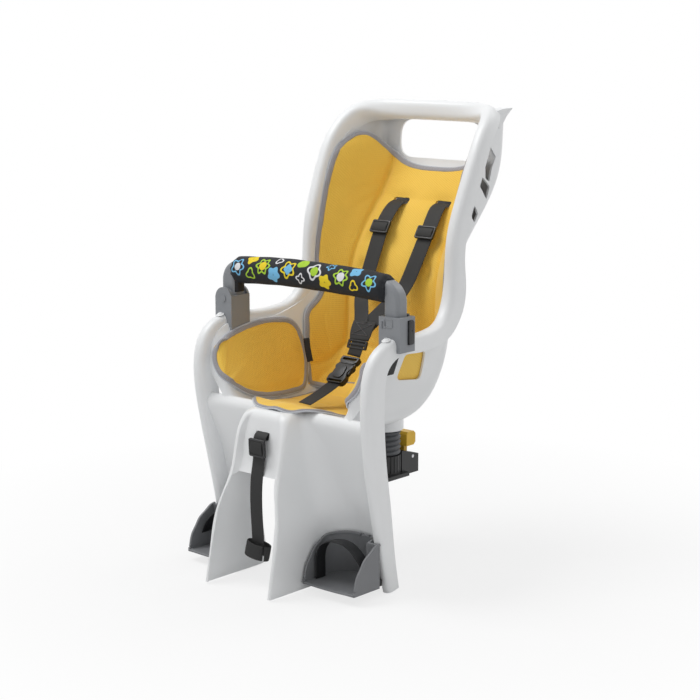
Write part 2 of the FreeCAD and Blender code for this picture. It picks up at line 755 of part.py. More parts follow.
def rail_path(left_foot, right_foot):
    """Up the left leg, round the elbow, over the gentle arch and down the right leg."""
    reach, deep = BAR_HALF, -size("bar_forward")
    centre_z = BAR_HEIGHT - ELBOW * math.cos(RAIL_SLOPE)

    def at(x, z):
        return Vector(x, deep, z)

    turn = (math.pi / 2 + RAIL_SLOPE) / 2
    points = []
    for side in (-1, 1):
        centre_x = side * (reach - ELBOW)
        top_end = at(centre_x + side * ELBOW * math.sin(RAIL_SLOPE), centre_z + ELBOW * math.cos(RAIL_SLOPE))
        middle = at(centre_x + side * ELBOW * math.cos(math.pi / 4 - RAIL_SLOPE / 2),
                    centre_z + ELBOW * math.sin(math.pi / 4 - RAIL_SLOPE / 2))
        points.append((at(side * reach, centre_z), middle, top_end))
    left, right = points
    crown = at(0, left[2].z + (right[2].x) * math.tan(RAIL_SLOPE / 2))
    return Part.Wire([
        line(at(-reach, left_foot), left[0]),
        arc(*left),
        arc(left[2], crown, right[2]),
        arc(right[2], right[1], right[0]),
        line(right[0], at(reach, right_foot)),
    ])


hinge_z = HINGE_HEIGHT
leg_low = BRACKET_FLOOR + 1
path = rail_path(hinge_z, leg_low)
start = Vector(-BAR_HALF, -size("bar_forward"), hinge_z)
profile = rounded_section(start, Vector(1, 0, 0), Vector(0, 1, 0), size("leg_wide"), size("leg_deep"), 7)
tube = path.makePipeShell([profile], True, False)
clevis_y = size("clevis_middle")
knuckle_long = 2 * size("clevis_half") - 2 * size("side_play")
knuckle_at = Vector(-BAR_HALF, -clevis_y - knuckle_long / 2, hinge_z)
knuckle = Part.makeCylinder(size("leg_wide") / 2, knuckle_long, knuckle_at, Vector(0, 1, 0))
rivet_hole = Part.makeCylinder(size("rivet_radius") + size("pin_play"), knuckle_long, knuckle_at, Vector(0, 1, 0))
tube = tube.fuse(knuckle).cut(rivet_hole)
node(formed("HandrailTube", tube), "handrail_tube")

sleeve_half = 166.0
crown_rise = (BAR_HALF - ELBOW) * math.tan(RAIL_SLOPE / 2)
arch_end = sleeve_half / (BAR_HALF - ELBOW)
ends_z = BAR_HEIGHT + crown_rise * (1 - arch_end ** 2)
sleeve_path = Part.Wire([arc(Vector(-sleeve_half, -size("bar_forward"), ends_z),
                             Vector(0, -size("bar_forward"), BAR_HEIGHT + crown_rise),
                             Vector(sleeve_half, -size("bar_forward"), ends_z))])
sleeve_start = Vector(-sleeve_half, -size("bar_forward"), ends_z)
ring = Part.Wire([Part.Circle(sleeve_start, Vector(1, 0, RAIL_SLOPE), size("bar_radius")).toShape()])
sleeve = sleeve_path.makePipeShell([ring], True, True).cut(tube)
sleeve = max(sleeve.Solids, key=lambda solid: solid.Volume)
node(formed("HandrailSleeve", sleeve), "handrail_sleeve")


# Hinge bracket of the handrail, an open clevis seated on the left armrest

def yz_box(x_low, x_high, y_low, y_high, z_low, z_high):
    return Part.makeBox(x_high - x_low, y_high - y_low, z_high - z_low, Vector(x_low, y_low, z_low))


def hinge_bracket():
    reach, half, wall = BAR_HALF, size("clevis_half"), size("bracket_wall")
    floor = BRACKET_FLOOR
    low, outside, inside = 284, -reach - 20, -reach + 20
    front, rear = -clevis_y - half - wall, -clevis_y + half + wall
    block = yz_box(outside, inside, front, rear, low, floor)
    ears = []
    for y in (front, rear - wall):
        ears.append(yz_box(outside, inside, y, y + wall, floor - 1, hinge_z))
        ears.append(Part.makeCylinder(20, wall, Vector(-reach, y, hinge_z), Vector(0, 1, 0)))
    back = yz_box(inside - 3.4, inside, front, rear, low - 17, hinge_z + 6)
    hole = Part.makeCylinder(size("rivet_radius"), rear - front + 2, Vector(-reach, front - 1, hinge_z),
                             Vector(0, 1, 0))
    shape = block.fuse(ears + [back]).cut([hole, SHELL_SHAPE, rim_core(-1)])
    return max(shape.Solids, key=lambda solid: solid.Volume)


def rim_core(side):
    """Inside of the rolled armrest under a bracket, which stays empty."""
    x = side * 193
    return yz_box(x - 13, x + 13, -175, -60, 270, 297)


node(formed("HingeBracket", hinge_bracket()), "hinge_bracket")
rivet_long = 2 * (size("clevis_half") + size("bracket_wall"))
rivet_at = Vector(-BAR_HALF, -clevis_y - rivet_long / 2, hinge_z)
rivet = Part.makeCylinder(size("rivet_radius"), rivet_long, rivet_at, Vector(0, 1, 0))
rivet_head = Part.makeCylinder(size("rivet_radius") + 2.5, 1.6, rivet_at + Vector(0, -1.6, 0), Vector(0, 1, 0))
node(formed("HingeRivet", rivet.fuse(rivet_head)), "hinge_rivet")


# Latch bracket: a socket for the right leg, with the latch button in its outer wall

def latch_bracket():
    reach, floor = BAR_HALF, BRACKET_FLOOR
    wide, deep = size("leg_wide") / 2, size("leg_deep") / 2
    y = -size("bar_forward")
    outside, top = reach + wide + 9, BRACKET_TOP
    block = yz_box(reach - wide - 4, outside, y - deep - 6, y + deep + 6, 284, top)
    flange = yz_box(reach - wide - 4, reach - wide + 3, y - deep - 2, y + deep + 2, 267, 300)
    socket = yz_box(reach - wide - 1, reach + wide + 1, y - deep - 0.6, y + deep + 0.6, floor, top + 1)
    button = size("latch_wide") / 2 + 0.4
    low = LATCH_LOW
    pocket = yz_box(outside - 6, outside + 1, -size("latch_back") - button, -size("latch_back") + button,
                    low - 0.4, low + size("latch_length") + 0.4)
    window = yz_box(reach - 14, reach - 5, y - deep - 7, y - deep - 4.5, 322, 334)
    shape = block.fuse(flange).cut([socket, pocket, window, SHELL_SHAPE, rim_core(1)])
    return max(shape.Solids, key=lambda solid: solid.Volume)


node(formed("LatchBracket", latch_bracket()), "latch_bracket")
latch_outside = BAR_HALF + size("leg_wide") / 2 + 9
button = box("LatchBlock", 6.5, "latch_wide", "latch_length", latch_outside - 3, "-latch_back - latch_wide / 2",
             LATCH_LOW)
node(button, "latch_button")


# Sliding footrests in the leg channels

def footrest():
    wall, floor = size("rest_wall"), size("rest_floor")
    low, high = -112.0, -34.0
    inner, outer, front = 81.0, 196.0, -233.0
    play = size("rest_play") + 1
    back_low, back_high = -125.0 - play, -142.0 - play
    radius = 50.0

    def ring(z, back, inset):
        left, right, nose = inner + inset, outer - inset, front - (30 if inset else 0)
        corner = radius - inset
        rear = back - inset
        return Part.Wire([
            line(Vector(left, nose, z), Vector(right, nose, z)),
            line(Vector(right, nose, z), Vector(right, POST_FRONT - inset, z)),
            line(Vector(right, POST_FRONT - inset, z), Vector(right - 22, POST_FRONT - inset, z)),
            line(Vector(right - 22, POST_FRONT - inset, z), Vector(right - 22, rear, z)),
            line(Vector(right - 22, rear, z), Vector(left + corner, rear, z)),
            arc(Vector(left + corner, rear, z), Vector(left + corner * (1 - SLANT), rear - corner * (1 - SLANT), z),
                Vector(left, rear - corner, z)),
            line(Vector(left, rear - corner, z), Vector(left, nose, z)),
        ])

    outside = Part.makeLoft([ring(low, back_low, 0), ring(high, back_high, 0)], True, True)
    inside = Part.makeLoft([ring(low + floor, back_low - 1, wall), ring(high + 1, back_high, wall)], True, True)
    sides = [(-300, high + 2), (-150, high + 2), (-176, high - 4), (-204, high - 22), (-222, high - 46),
             (-228, low + floor + 4), (-234, low + 6), (-300, low + 6)]
    return outside.cut([inside, side_prism(sides, 60, 220)])


POST_FRONT = -168.0
right_rest = formed("FootrestLeft", footrest())
node(right_rest, "footrest_left")
node(mirrored("FootrestRight", right_rest), "footrest_right")


# Webbing and rubber straps: flat strips that follow a line of points

def ribbon(points, width, thick, widths=None, side=(1, 0, 0)):
    """Strip through points given as (x, y, z), whose width runs along a side direction."""
    wires = []
    spots = [Vector(*point) for point in points]
    for index, spot in enumerate(spots):
        before, after = spots[max(index - 1, 0)], spots[min(index + 1, len(spots) - 1)]
        forward = after - before
        across = Vector(*side) - forward * (forward.dot(Vector(*side)) / forward.Length ** 2)
        across.normalize()
        up = across.cross(forward)
        up.normalize()
        half = (widths[index] if widths else width) / 2
        wires.append(Part.makePolygon([spot + across * half, spot - across * half,
                                       spot - across * half + up * thick, spot + across * half + up * thick,
                                       spot + across * half]))
    return Part.makeLoft(wires, True, True)


WEB = size("strap_thick")
WIDE = size("strap_width")
SLOT_HEIGHT = size("strap_slot_height") - 3.9
YOKE_TOP = 321.6


def strap_point(x, share, forward):
    """Place on a shoulder strap, by its share of the way up to the slot and its distance from the tub's back."""
    z = YOKE_TOP + share * (SLOT_HEIGHT - YOKE_TOP)
    return (x, back_line(z) - forward, z)


STRAPS = {
    "shoulder_strap_right": [(-48, 1, 6.3), (-48, 1, 26.3), (-47, 0.891, 31.9), (-46, 0.651, 26.7),
                             (-45, 0.351, 28.4), (-42, 0.1405, 39.2), (-29.2, 0, 59.2)],
    "shoulder_strap_left": [(48, 1, 6.3), (48, 1, 26.3), (47, 0.891, 31.9), (48, 0.651, 26.7),
                            (47, 0.381, 28.6), (42, 0.1405, 37.2), (33.5, 0, 57.1)],
}
for label, points in STRAPS.items():
    route = [strap_point(*point) for point in points]
    node(formed(label.title().replace("_", ""), ribbon(route, WIDE, WEB)), label)

yoke = ribbon([(2, 43, 318), (4, 8, 282), (7, -3, 262), (5, -14.6, 236.2)], 0, 3, [92, 52, 44, 34])
node(formed("HarnessYoke", yoke), "harness_yoke")


def ladder_lock(strap):
    """Slotted slider that lies just in front of the straight part of a strap, at LOCK_SHARE of the way down it."""
    wide, tall, thick = WIDE + 7, 22, size("lock_thick")
    lock = Part.makeBox(wide, thick, tall, Vector(-wide / 2, 0, -tall / 2))
    for z in (-6, 1):
        lock = lock.cut(Part.makeBox(wide - 6, thick + 2, 4, Vector(3 - wide / 2, -1, z)))
    upper, lower = [Vector(*strap_point(*point)) for point in STRAPS[strap][2:4]]
    lean = math.degrees(math.atan2(upper.y - lower.y, upper.z - lower.z))
    lock.translate(Vector(0, -thick - size("lock_gap"), 0))
    lock.rotate(Vector(), Vector(1, 0, 0), -lean)
    lock.translate(upper + (lower - upper) * LOCK_SHARE)
    return lock


LOCK_SHARE = 0.56
for label, strap in (("ladder_lock_right", "shoulder_strap_right"), ("ladder_lock_left", "shoulder_strap_left")):
    node(formed(label.title().replace("_", ""), ladder_lock(strap)), label)


def buckle():
    """Both halves, along the harness line, side by side at the tongue's shoulder."""
    width, thick = size("buckle_width"), size("buckle_thick")
    socket = Part.makeBox(width, thick, 44, Vector(-width / 2, 0, -44))
    socket = socket.makeFillet(4, [edge for edge in socket.Edges if abs(edge.tangentAt(0).y) > 0.9])
    mouth = Part.makeBox(width - 8, thick - 6, 30, Vector(-width / 2 + 4, 3, -30))
    socket = socket.cut(mouth)
    tongue = Part.makeBox(width - 9, thick - 7, 29, Vector(-width / 2 + 4.5, 3.5, -28))
    plate = Part.makeBox(width, thick - 2, 18, Vector(-width / 2, 1, 0.3))
    hole = Part.makeBox(width - 10, thick, 4, Vector(-width / 2 + 5, 0, 10))
    return socket, tongue.fuse(plate).cut(hole)


for shape, label in zip(buckle(), ("buckle_socket", "buckle_tongue")):
    shape.rotate(Vector(), Vector(1, 0, 0), -52)
    shape.translate(Vector(5, -36, 226))
    node(formed(label.title().replace("_", ""), shape), label)

node(formed("CrotchStrap", ribbon([(5, -68.6, 194.2), (3, -100, 181), (0, -137, 169.5)], 30, WEB)), "crotch_strap")
for side, label in ((-1, "waist_strap_right"), (1, "waist_strap_left")):
    corners = [(155.15, 236), (166.65, 266), (168.45, 266), (156.95, 236)]
    strap = front_prism([(side * x, z) for x, z in corners], -102, -90)
    node(formed(label.title().replace("_", ""), strap), label)

foot_route = [(92, -199.5, -107.2), (91.5, -199.5, -85), (94, -201, -62), (104, -200, -44), (128, -198, -36),
              (152, -196, -39), (170, -194, -52), (184, -192, -70), (191.5, -191, -84)]
foot_strap = formed("FootStrapLeft", ribbon(foot_route, size("foot_strap_width"), size("foot_strap_thick"),
                                            side=(0, 1, 0)))
node(foot_strap, "foot_strap_left")
node(mirrored("FootStrapRight", foot_strap), "foot_strap_right")
foot_clip = formed("FootClipLeft", yz_box(176, 189, POST_FRONT + 0.2, -154, -112, -101))
node(foot_clip, "foot_clip_left")
node(mirrored("FootClipRight", foot_clip), "foot_clip_right")

front = size("front_strap_width")
security = ribbon([(0, -240, 138.7), (0, -249, 137), (0, -254, 128), (0, -256, 100), (-1, -260.5, 70), (-2, -266, 40),
                   (-3, -262, 0), (-5, -256, -38), (-24, -250, -66)], front, WEB)
node(formed("SecurityStrap", security), "security_strap")
latch_frame = Part.makeBox(32, 5, 30, Vector(-16, -261.6, 98))
for z in (103, 114):
    latch_frame = latch_frame.cut(Part.makeBox(26, 7, 7, Vector(-13, -262.6, z)))
node(formed("SecurityBuckle", latch_frame), "security_buckle")


# Padding: closed solids that lie just inside the tub

def back_pad_section(row, gap, thick, fold):
    """Across the back, round the corners and out along the wings."""
    frame = TubFrame(row)
    wall = size("shell_wall") + gap
    flat = frame.half - frame.corner
    top = frame.length - 16
    edge = frame.side(top, wall)
    return Part.Wire([
        line(frame.at(-flat, wall), frame.at(flat, wall)),
        arc(frame.at(flat, wall), frame.bend(1, wall), frame.at(frame.half - wall, frame.corner)),
        line(frame.at(frame.half - wall, frame.corner), frame.at(edge, top)),
        line(frame.at(edge, top), frame.at(edge - 6, top)),
        line(frame.at(edge - 6, top), frame.at(fold, wall + thick)),
        line(frame.at(fold, wall + thick), frame.at(-fold, wall + thick)),
        line(frame.at(-fold, wall + thick), frame.at(6 - edge, top)),
        line(frame.at(6 - edge, top), frame.at(-edge, top)),
        line(frame.at(-edge, top), frame.at(wall - frame.half, frame.corner)),
        arc(frame.at(wall - frame.half, frame.corner), frame.bend(-1, wall), frame.at(-flat, wall)),
    ])


GAP, THICK = size("pad_gap"), size("pad_thick")
back_rows = [row for row in TUB_ROWS if 215 < row[1] < 640]
back = Part.makeLoft([back_pad_section(row, GAP, THICK, 95) for row in back_rows], True, True)
top_edge = [(0, 549), (100, 559), (128, 622), (170, 600), (170, 700)]
top_notch = front_prism(top_edge + [(-x, z) for x, z in reversed(top_edge[1:])], -60, 260)
strap_holes = [slot(side * size("strap_spacing") / 2, size("strap_slot_height"),
                    size("strap_width") + 2 * size("slot_play"), 12, 140, 240) for side in (-1, 1)]
back = back.cut([top_notch] + strap_holes)
back = max(back.Solids, key=lambda solid: solid.Volume)
node(formed("BackPad", back), "back_pad")


def seat_pad_section(row, gap, thick):
    frame = TubFrame(row)
    wall = size("shell_wall") + gap
    reach = frame.half - frame.corner + 6
    low = wall + 1.0
    return Part.makePolygon([frame.at(-reach, low), frame.at(reach, low), frame.at(reach, low + thick),
                             frame.at(-reach, low + thick), frame.at(-reach, low)])


seat_rows = [row for row in TUB_ROWS if row[1] < 200 and row[0] > -190 and row[4] < 145]
pad_solid = Part.makeLoft([seat_pad_section(row, GAP, size("seat_pad_thick")) for row in seat_rows], True, True)
node(formed("SeatPad", pad_solid), "seat_pad")


def side_pad_section(row, gap):
    """Wedge up the side wall, over the seat pad's edge."""
    frame = TubFrame(row)
    wall = size("shell_wall") + gap
    low, top = frame.corner + 2, frame.length - 8
    return Part.makePolygon([
        frame.at(frame.side(low, wall), low), frame.at(frame.side(top, wall), top),
        frame.at(frame.side(top, wall) - 8, top), frame.at(frame.side(low, wall) - 22, low + 14),
        frame.at(frame.side(low, wall) - 16, low), frame.at(frame.side(low, wall), low)])


side_rows = [row for row in TUB_ROWS if row[1] < 190 and row[3] > 240 and row[0] < 20]
side_solid = Part.makeLoft([side_pad_section(row, GAP) for row in side_rows], True, True)
side_pad = formed("SidePadLeft", side_solid.cut(yz_box(160, 200, -150, -88, 263, 320)))
node(side_pad, "side_pad_left")
node(mirrored("SidePadRight", side_pad), "side_pad_right")


# Checks and files

def finish():
    doc.recompute()
    for item in doc.Objects:
        if "Invalid" in item.State or "Error" in item.State:
            raise RuntimeError(f"{item.Name} failed: {item.State}")
    for item in NODES:
        if item.Shape.isNull() or not item.Shape.isValid():
            raise RuntimeError(f"{item.Label} has no valid shape")
    os.makedirs("parts", exist_ok=True)
    for item in NODES:
        item.Shape.exportStep(f"parts/{item.Label}.step")
        box_of = item.Shape.BoundBox
        print(f"{item.Label}: {len(item.Shape.Solids)} solids, {item.Shape.Volume / 1000:.1f} cm3, "
              f"x {box_of.XMin:.0f}..{box_of.XMax:.0f} y {box_of.YMin:.0f}..{box_of.YMax:.0f} "
              f"z {box_of.ZMin:.0f}..{box_of.ZMax:.0f}")


finish()
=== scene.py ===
"""Child bike seat: moulded shell, padding, harness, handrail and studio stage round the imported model."""

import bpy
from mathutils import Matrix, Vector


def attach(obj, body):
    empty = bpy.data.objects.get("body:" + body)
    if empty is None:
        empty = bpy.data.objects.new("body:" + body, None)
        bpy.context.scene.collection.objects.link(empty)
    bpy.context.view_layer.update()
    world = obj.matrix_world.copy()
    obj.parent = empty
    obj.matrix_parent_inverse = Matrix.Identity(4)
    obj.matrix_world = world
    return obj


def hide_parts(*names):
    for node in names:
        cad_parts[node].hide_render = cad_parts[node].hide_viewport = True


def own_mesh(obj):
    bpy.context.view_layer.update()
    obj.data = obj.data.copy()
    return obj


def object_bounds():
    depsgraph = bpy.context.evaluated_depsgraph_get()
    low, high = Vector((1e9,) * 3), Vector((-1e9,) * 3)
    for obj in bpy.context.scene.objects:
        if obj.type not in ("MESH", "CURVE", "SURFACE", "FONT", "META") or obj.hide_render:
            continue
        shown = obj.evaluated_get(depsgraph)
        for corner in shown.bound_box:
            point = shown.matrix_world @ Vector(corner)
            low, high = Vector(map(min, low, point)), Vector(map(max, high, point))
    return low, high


bl_info = {
    "name": "Child bike seat",
    "version": (1, 0, 0),
    "blender": (4, 5, 0),
    "location": "3D View > Sidebar > Bike seat",
    "description": "Dresses the packed child bike seat with its shell, padding, webbing and finishes",
    "category": "Object",
}

import bmesh
import bpy
import numpy as np
from mathutils import Matrix, Vector

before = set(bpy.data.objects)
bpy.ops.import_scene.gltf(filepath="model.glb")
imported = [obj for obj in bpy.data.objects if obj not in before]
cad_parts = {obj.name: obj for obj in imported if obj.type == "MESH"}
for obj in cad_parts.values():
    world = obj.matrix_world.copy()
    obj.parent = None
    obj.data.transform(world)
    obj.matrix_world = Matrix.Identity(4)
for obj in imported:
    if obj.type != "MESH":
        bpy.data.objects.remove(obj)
cad_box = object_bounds()
MM = 0.001
QUARTER_TURN = np.pi / 2
FULL_TURN = 2 * np.pi

# Tub of the shell in millimetres: back line y and z, rim y and z, half width, corner radius, rim half width
TUB = np.array([
    (238, 652, 186, 650, 148, 22, 149),
    (237, 612, 138, 604, 149, 25, 156),
    (231, 566, 112, 562, 150, 27, 158),
    (190, 494, 85, 488, 150, 30, 155),
    (135, 424, 69, 424, 150, 38, 154),
    (105, 325, 60, 354, 150, 50, 156),
    (88, 205, 24, 312, 146, 60, 162),
    (40, 136, -26, 294, 134, 58, 169),
    (-60, 128, -70, 291, 132, 52, 174),
    (-150, 143, -150, 289, 138, 46, 181),
    (-196, 158, -186, 252, 146, 40, 184),
    (-205, 140, -188, 212, 152, 34, 184),
], float)

# Rolled rim from a foot to the middle of the top bar: x, y, z, half width, half depth
RIM = np.array([
    (190, -134, -124, 9.5, 12.5),
    (187, -146, -60, 10.5, 15),
    (187, -158, 10, 11.5, 17),
    (188, -172, 80, 12, 18.5),
    (191, -184, 150, 12.5, 19.5),
    (194, -189, 215, 13, 20),
    (194, -176, 268, 13, 18.5),
    (193, -138, 291, 13, 15.5),
    (188, -84, 291, 13, 15),
    (182, -30, 291, 13, 15.5),
    (174, 20, 303, 13.5, 17),
    (168, 54, 342, 14, 20),
    (166, 66, 392, 14, 22),
    (166, 70, 444, 14, 22),
    (168, 90, 508, 14, 22),
    (170, 116, 570, 14, 21.5),
    (165, 148, 622, 14, 20),
    (148, 184, 650, 15, 18),
    (112, 206, 656, 17, 15),
    (56, 217, 656, 18, 14),
    (0, 219, 656, 18, 13.5),
], float)

# Horn and leg guard: z, half width of the horn, front face, recess depth, front corner radius,
# front of the leg wall, radius between horn and leg wall
HORN = np.array([
    (-124, 77, -308, 0.5, 3, -122, 62),
    (-60, 76, -296, 0.5, 3, -135, 60),
    (0, 73, -284, 0.5, 3, -148, 56),
    (40, 62, -274, 3, 4, -157, 52),
    (72, 57, -264, 9, 5, -165, 46),
    (112, 57, -255, 9, 6, -180, 36),
    (142, 56, -248, 7, 8, -192, 22),
    (158, 53, -242, 4, 10, -196, 16),
    (167, 49, -236, 1.5, 12, -193, 13),
    (172, 44, -228, 0.5, 12, -187, 12),
], float)

# Places in millimetres: where the leg wall ends under the rim, the strap slots, the suspension's axis,
# the handrail's middle line and the two ends of its sleeve
WALL_END = 184.0
SLOT_X = 48
SLOT_LOW, SLOT_HIGH = 486, 498
SPRING_X, SPRING_Y = 0, 76
RAIL_Y = -120
RAIL_HALF = 168.0
SLEEVE_HALF = 176


# User settings

class SeatColours(bpy.types.PropertyGroup):
    """Colours of the seat's finishes."""

    shell: bpy.props.FloatVectorProperty(
        name="Shell", description="Moulded shell", subtype="COLOR", size=3, min=0, max=1,
        default=(0.66, 0.695, 0.74))
    padding: bpy.props.FloatVectorProperty(
        name="Padding", description="Mesh fabric of the cushions", subtype="COLOR", size=3, min=0, max=1,
        default=(1.0, 0.655, 0.095))
    binding: bpy.props.FloatVectorProperty(
        name="Binding", description="Edge binding of the cushions", subtype="COLOR", size=3, min=0, max=1,
        default=(0.34, 0.33, 0.35))
    piping: bpy.props.FloatVectorProperty(
        name="Piping", description="Outer edge of the binding", subtype="COLOR", size=3, min=0, max=1,
        default=(0.55, 0.57, 0.61))
    webbing: bpy.props.FloatVectorProperty(
        name="Webbing", description="Harness straps", subtype="COLOR", size=3, min=0, max=1,
        default=(0.0065, 0.0065, 0.007))
    bracket: bpy.props.FloatVectorProperty(
        name="Brackets", description="Handrail brackets and elbows", subtype="COLOR", size=3, min=0, max=1,
        default=(0.25, 0.262, 0.28))
    footrest: bpy.props.FloatVectorProperty(
        name="Footrests", description="Footrest plastic", subtype="COLOR", size=3, min=0, max=1,
        default=(0.19, 0.195, 0.205))
    lever: bpy.props.FloatVectorProperty(
        name="Release lever", description="Release lever plastic", subtype="COLOR", size=3, min=0, max=1,
        default=(0.75, 0.46, 0.03))
    black: bpy.props.FloatVectorProperty(
        name="Black plastic", description="Base, buckles and clips", subtype="COLOR", size=3, min=0, max=1,
        default=(0.010, 0.010, 0.011))


class SeatSizes(bpy.types.PropertyGroup):
    """Sizes of the dressed pieces."""

    shell_wall: bpy.props.FloatProperty(
        name="Shell wall", description="Wall of the moulded shell", unit="LENGTH", subtype="DISTANCE",
        default=4 * MM, min=MM)
    rim_wall: bpy.props.FloatProperty(
        name="Rim wall", description="Wall of the rolled rim", unit="LENGTH", subtype="DISTANCE",
        default=3.6 * MM, min=MM)
    swell: bpy.props.FloatProperty(
        name="Swell", description="Most that a cushion may swell", unit="LENGTH", subtype="DISTANCE",
        default=6 * MM, min=0)
    web_thick: bpy.props.FloatProperty(
        name="Webbing thickness", description="Thickness of the straps", unit="LENGTH", subtype="DISTANCE",
        default=1.8 * MM, min=0.5 * MM)


# Curves and meshes

def spline(knots, values, where):
    """Natural cubic spline: cubic pieces through the values, with slope and bend shared at each knot."""
    knots, values = np.asarray(knots, float), np.asarray(values, float)
    steps = np.diff(knots)
    slopes = np.diff(values, axis=0) / steps[:, None]
    inner = np.arange(1, len(knots) - 1)
    system = np.eye(len(knots))
    system[inner, inner - 1] = steps[:-1]
    system[inner, inner] = 2 * (steps[:-1] + steps[1:])
    system[inner, inner + 1] = steps[1:]
    right = np.zeros_like(values)
    right[1:-1] = 6 * np.diff(slopes, axis=0)
    bends = np.linalg.solve(system, right)
    piece = np.clip(np.searchsorted(knots, where, side="right") - 1, 0, len(knots) - 2)
    step = steps[piece][:, None]
    a = (knots[piece + 1] - where)[:, None] / step
    b = 1 - a
    bend = (a ** 3 - a) * bends[piece] + (b ** 3 - b) * bends[piece + 1]
    return a * values[piece] + b * values[piece + 1] + bend * step ** 2 / 6


def along(points, count, closed=False):
    """Smooth line through points, sampled evenly by its length; values beside the place go with it."""
    points = np.asarray(points, float)
    if closed:
        points = np.vstack([points[-3:], points, points[:3]])
    knots = distances(points[:, :3])
    if closed:
        where = np.linspace(knots[3], knots[-3], count, endpoint=False)
    else:
        where = np.linspace(0, knots[-1], count)
    return spline(knots, points, where)


def new_object(name, points, faces, uv=None, material=None, smooth=True):
    """Object at the origin from points in millimetres, with optional UVs in metres."""
    mesh = bpy.data.meshes.new(name)
    mesh.from_pydata(np.asarray(points).reshape(-1, 3) * MM, [], [list(face) for face in faces])
    mesh.validate()
    if uv is not None:
        layer = mesh.uv_layers.new(name="UVMap")
        loops = np.zeros(len(mesh.loops), np.int32)
        mesh.loops.foreach_get("vertex_index", loops)
        layer.data.foreach_set("uv", np.asarray(uv).reshape(-1, 2)[loops].ravel() * MM)
    mesh.polygons.foreach_set("use_smooth", np.full(len(mesh.polygons), smooth))
    item = bpy.data.objects.new(name, mesh)
    bpy.context.collection.objects.link(item)
    if material is not None:
        mesh.materials.append(material)
    return item


def outward(item):
    """Turns a closed mesh's faces outwards."""
    work = bmesh.new()
    work.from_mesh(item.data)
    bmesh.ops.remove_doubles(work, verts=work.verts, dist=1e-6)
    bmesh.ops.recalc_face_normals(work, faces=work.faces)
    work.to_mesh(item.data)
    work.free()
    return item


def grid_faces(rows, columns, wrap=False):
    """Quads of a grid of points, wrapped round its columns if asked."""
    width = columns if wrap else columns - 1
    row, column = np.meshgrid(np.arange(rows - 1), np.arange(width), indexing="ij")
    after = (column + 1) % columns
    low, high = row * columns, (row + 1) * columns
    return np.stack([low + column, low + after, high + after, high + column], -1).reshape(-1, 4)


def sheet_caps(rows, columns):
    """End faces of a closed loop whose second half runs back along its first half."""
    half = np.arange(columns // 2 - 1)
    cap = np.stack([half, half + 1, columns - 2 - half, columns - 1 - half], -1)
    return np.vstack([cap, (cap + (rows - 1) * columns)[:, ::-1]])


def swept_sheet(outer, inner):
    """Thick sheet between two grids: each row runs out along the outer side and back along the inner."""
    loops = np.concatenate([outer, inner[:, ::-1]], axis=1)
    rows, columns = loops.shape[:2]
    return loops.reshape(-1, 3), np.vstack([grid_faces(rows, columns, True), sheet_caps(rows, columns)])


def mirror(points):
    """The same points on the other side of the seat."""
    return points * np.array([-1.0, 1, 1])


def ease(low, high, value):
    """Smooth step from 0 at low to 1 at high."""
    t = np.clip((value - low) / (high - low), 0, 1)
    return t * t * (3 - 2 * t)


def dip(value, centre, width):
    """Bell that is 1 at the centre and fades within about twice the width."""
    return np.exp(-((value - centre) / width) ** 2)


def squared(wave, power):
    """Sine or cosine raised to a power with its sign kept, which squares off the circle that it draws."""
    return np.sign(wave) * np.abs(wave) ** power


def unit(vectors):
    """Vectors made one long."""
    return vectors / np.linalg.norm(vectors, axis=-1)[..., None]


def distances(points):
    """Distance along a line of points up to each of them."""
    return np.concatenate([[0], np.cumsum(np.linalg.norm(np.diff(points, axis=0), axis=1))])


def carried(path, across, up, x, y):
    """Profile carried along a path: every point is the path's, plus x across and y up."""
    return path[:, None] + across[:, None] * x[..., None] + up[:, None] * y[..., None]


def tube_faces(loops, steps):
    """Quads round a row of closed loops, and one face over each end."""
    ends = [list(range(steps))[::-1], list(range((loops - 1) * steps, loops * steps))]
    return grid_faces(loops, steps, True).tolist() + ends


def rounded_outline(corners, radius, steps=6):
    """Straight-edged outline whose corners are rounded by quadratic curves of about the radius."""
    corners = np.asarray(corners, float)
    before, after = np.roll(corners, 1, axis=0), np.roll(corners, -1, axis=0)
    into, out = before - corners, after - corners
    reach_in = np.minimum(radius, 0.45 * np.linalg.norm(into, axis=1))[:, None]
    reach_out = np.minimum(radius, 0.45 * np.linalg.norm(out, axis=1))[:, None]
    start = corners + into / np.linalg.norm(into, axis=1)[:, None] * reach_in
    end = corners + out / np.linalg.norm(out, axis=1)[:, None] * reach_out
    t = np.linspace(0, 1, steps)[None, :, None]
    curve = (1 - t) ** 2 * start[:, None] + 2 * t * (1 - t) * corners[:, None] + t ** 2 * end[:, None]
    return curve.reshape(-1, 2)


def rectangle(wide, low, high, radius=2.0, middle=0.0, steps=6):
    """Rounded rectangle about a middle, with its low and high sides at two heights."""
    left, right = middle - wide / 2, middle + wide / 2
    return rounded_outline([(left, low), (right, low), (right, high), (left, high)], radius, steps)


def both_sides(half):
    """Outline from its right half, read upwards or downwards, and the mirror image of that half."""
    half = np.asarray(half, float)
    return np.vstack([half, half[::-1] * (-1, 1)])


def prism(outline, axis, low, high):
    """Closed block with an outline across an axis of the frame."""
    points = np.zeros((2, len(outline), 3))
    others = [index for index in range(3) if index != axis]
    points[..., others[0]], points[..., others[1]] = outline[:, 0], outline[:, 1]
    points[0, :, axis], points[1, :, axis] = low, high
    return points.reshape(-1, 3), tube_faces(2, len(outline))


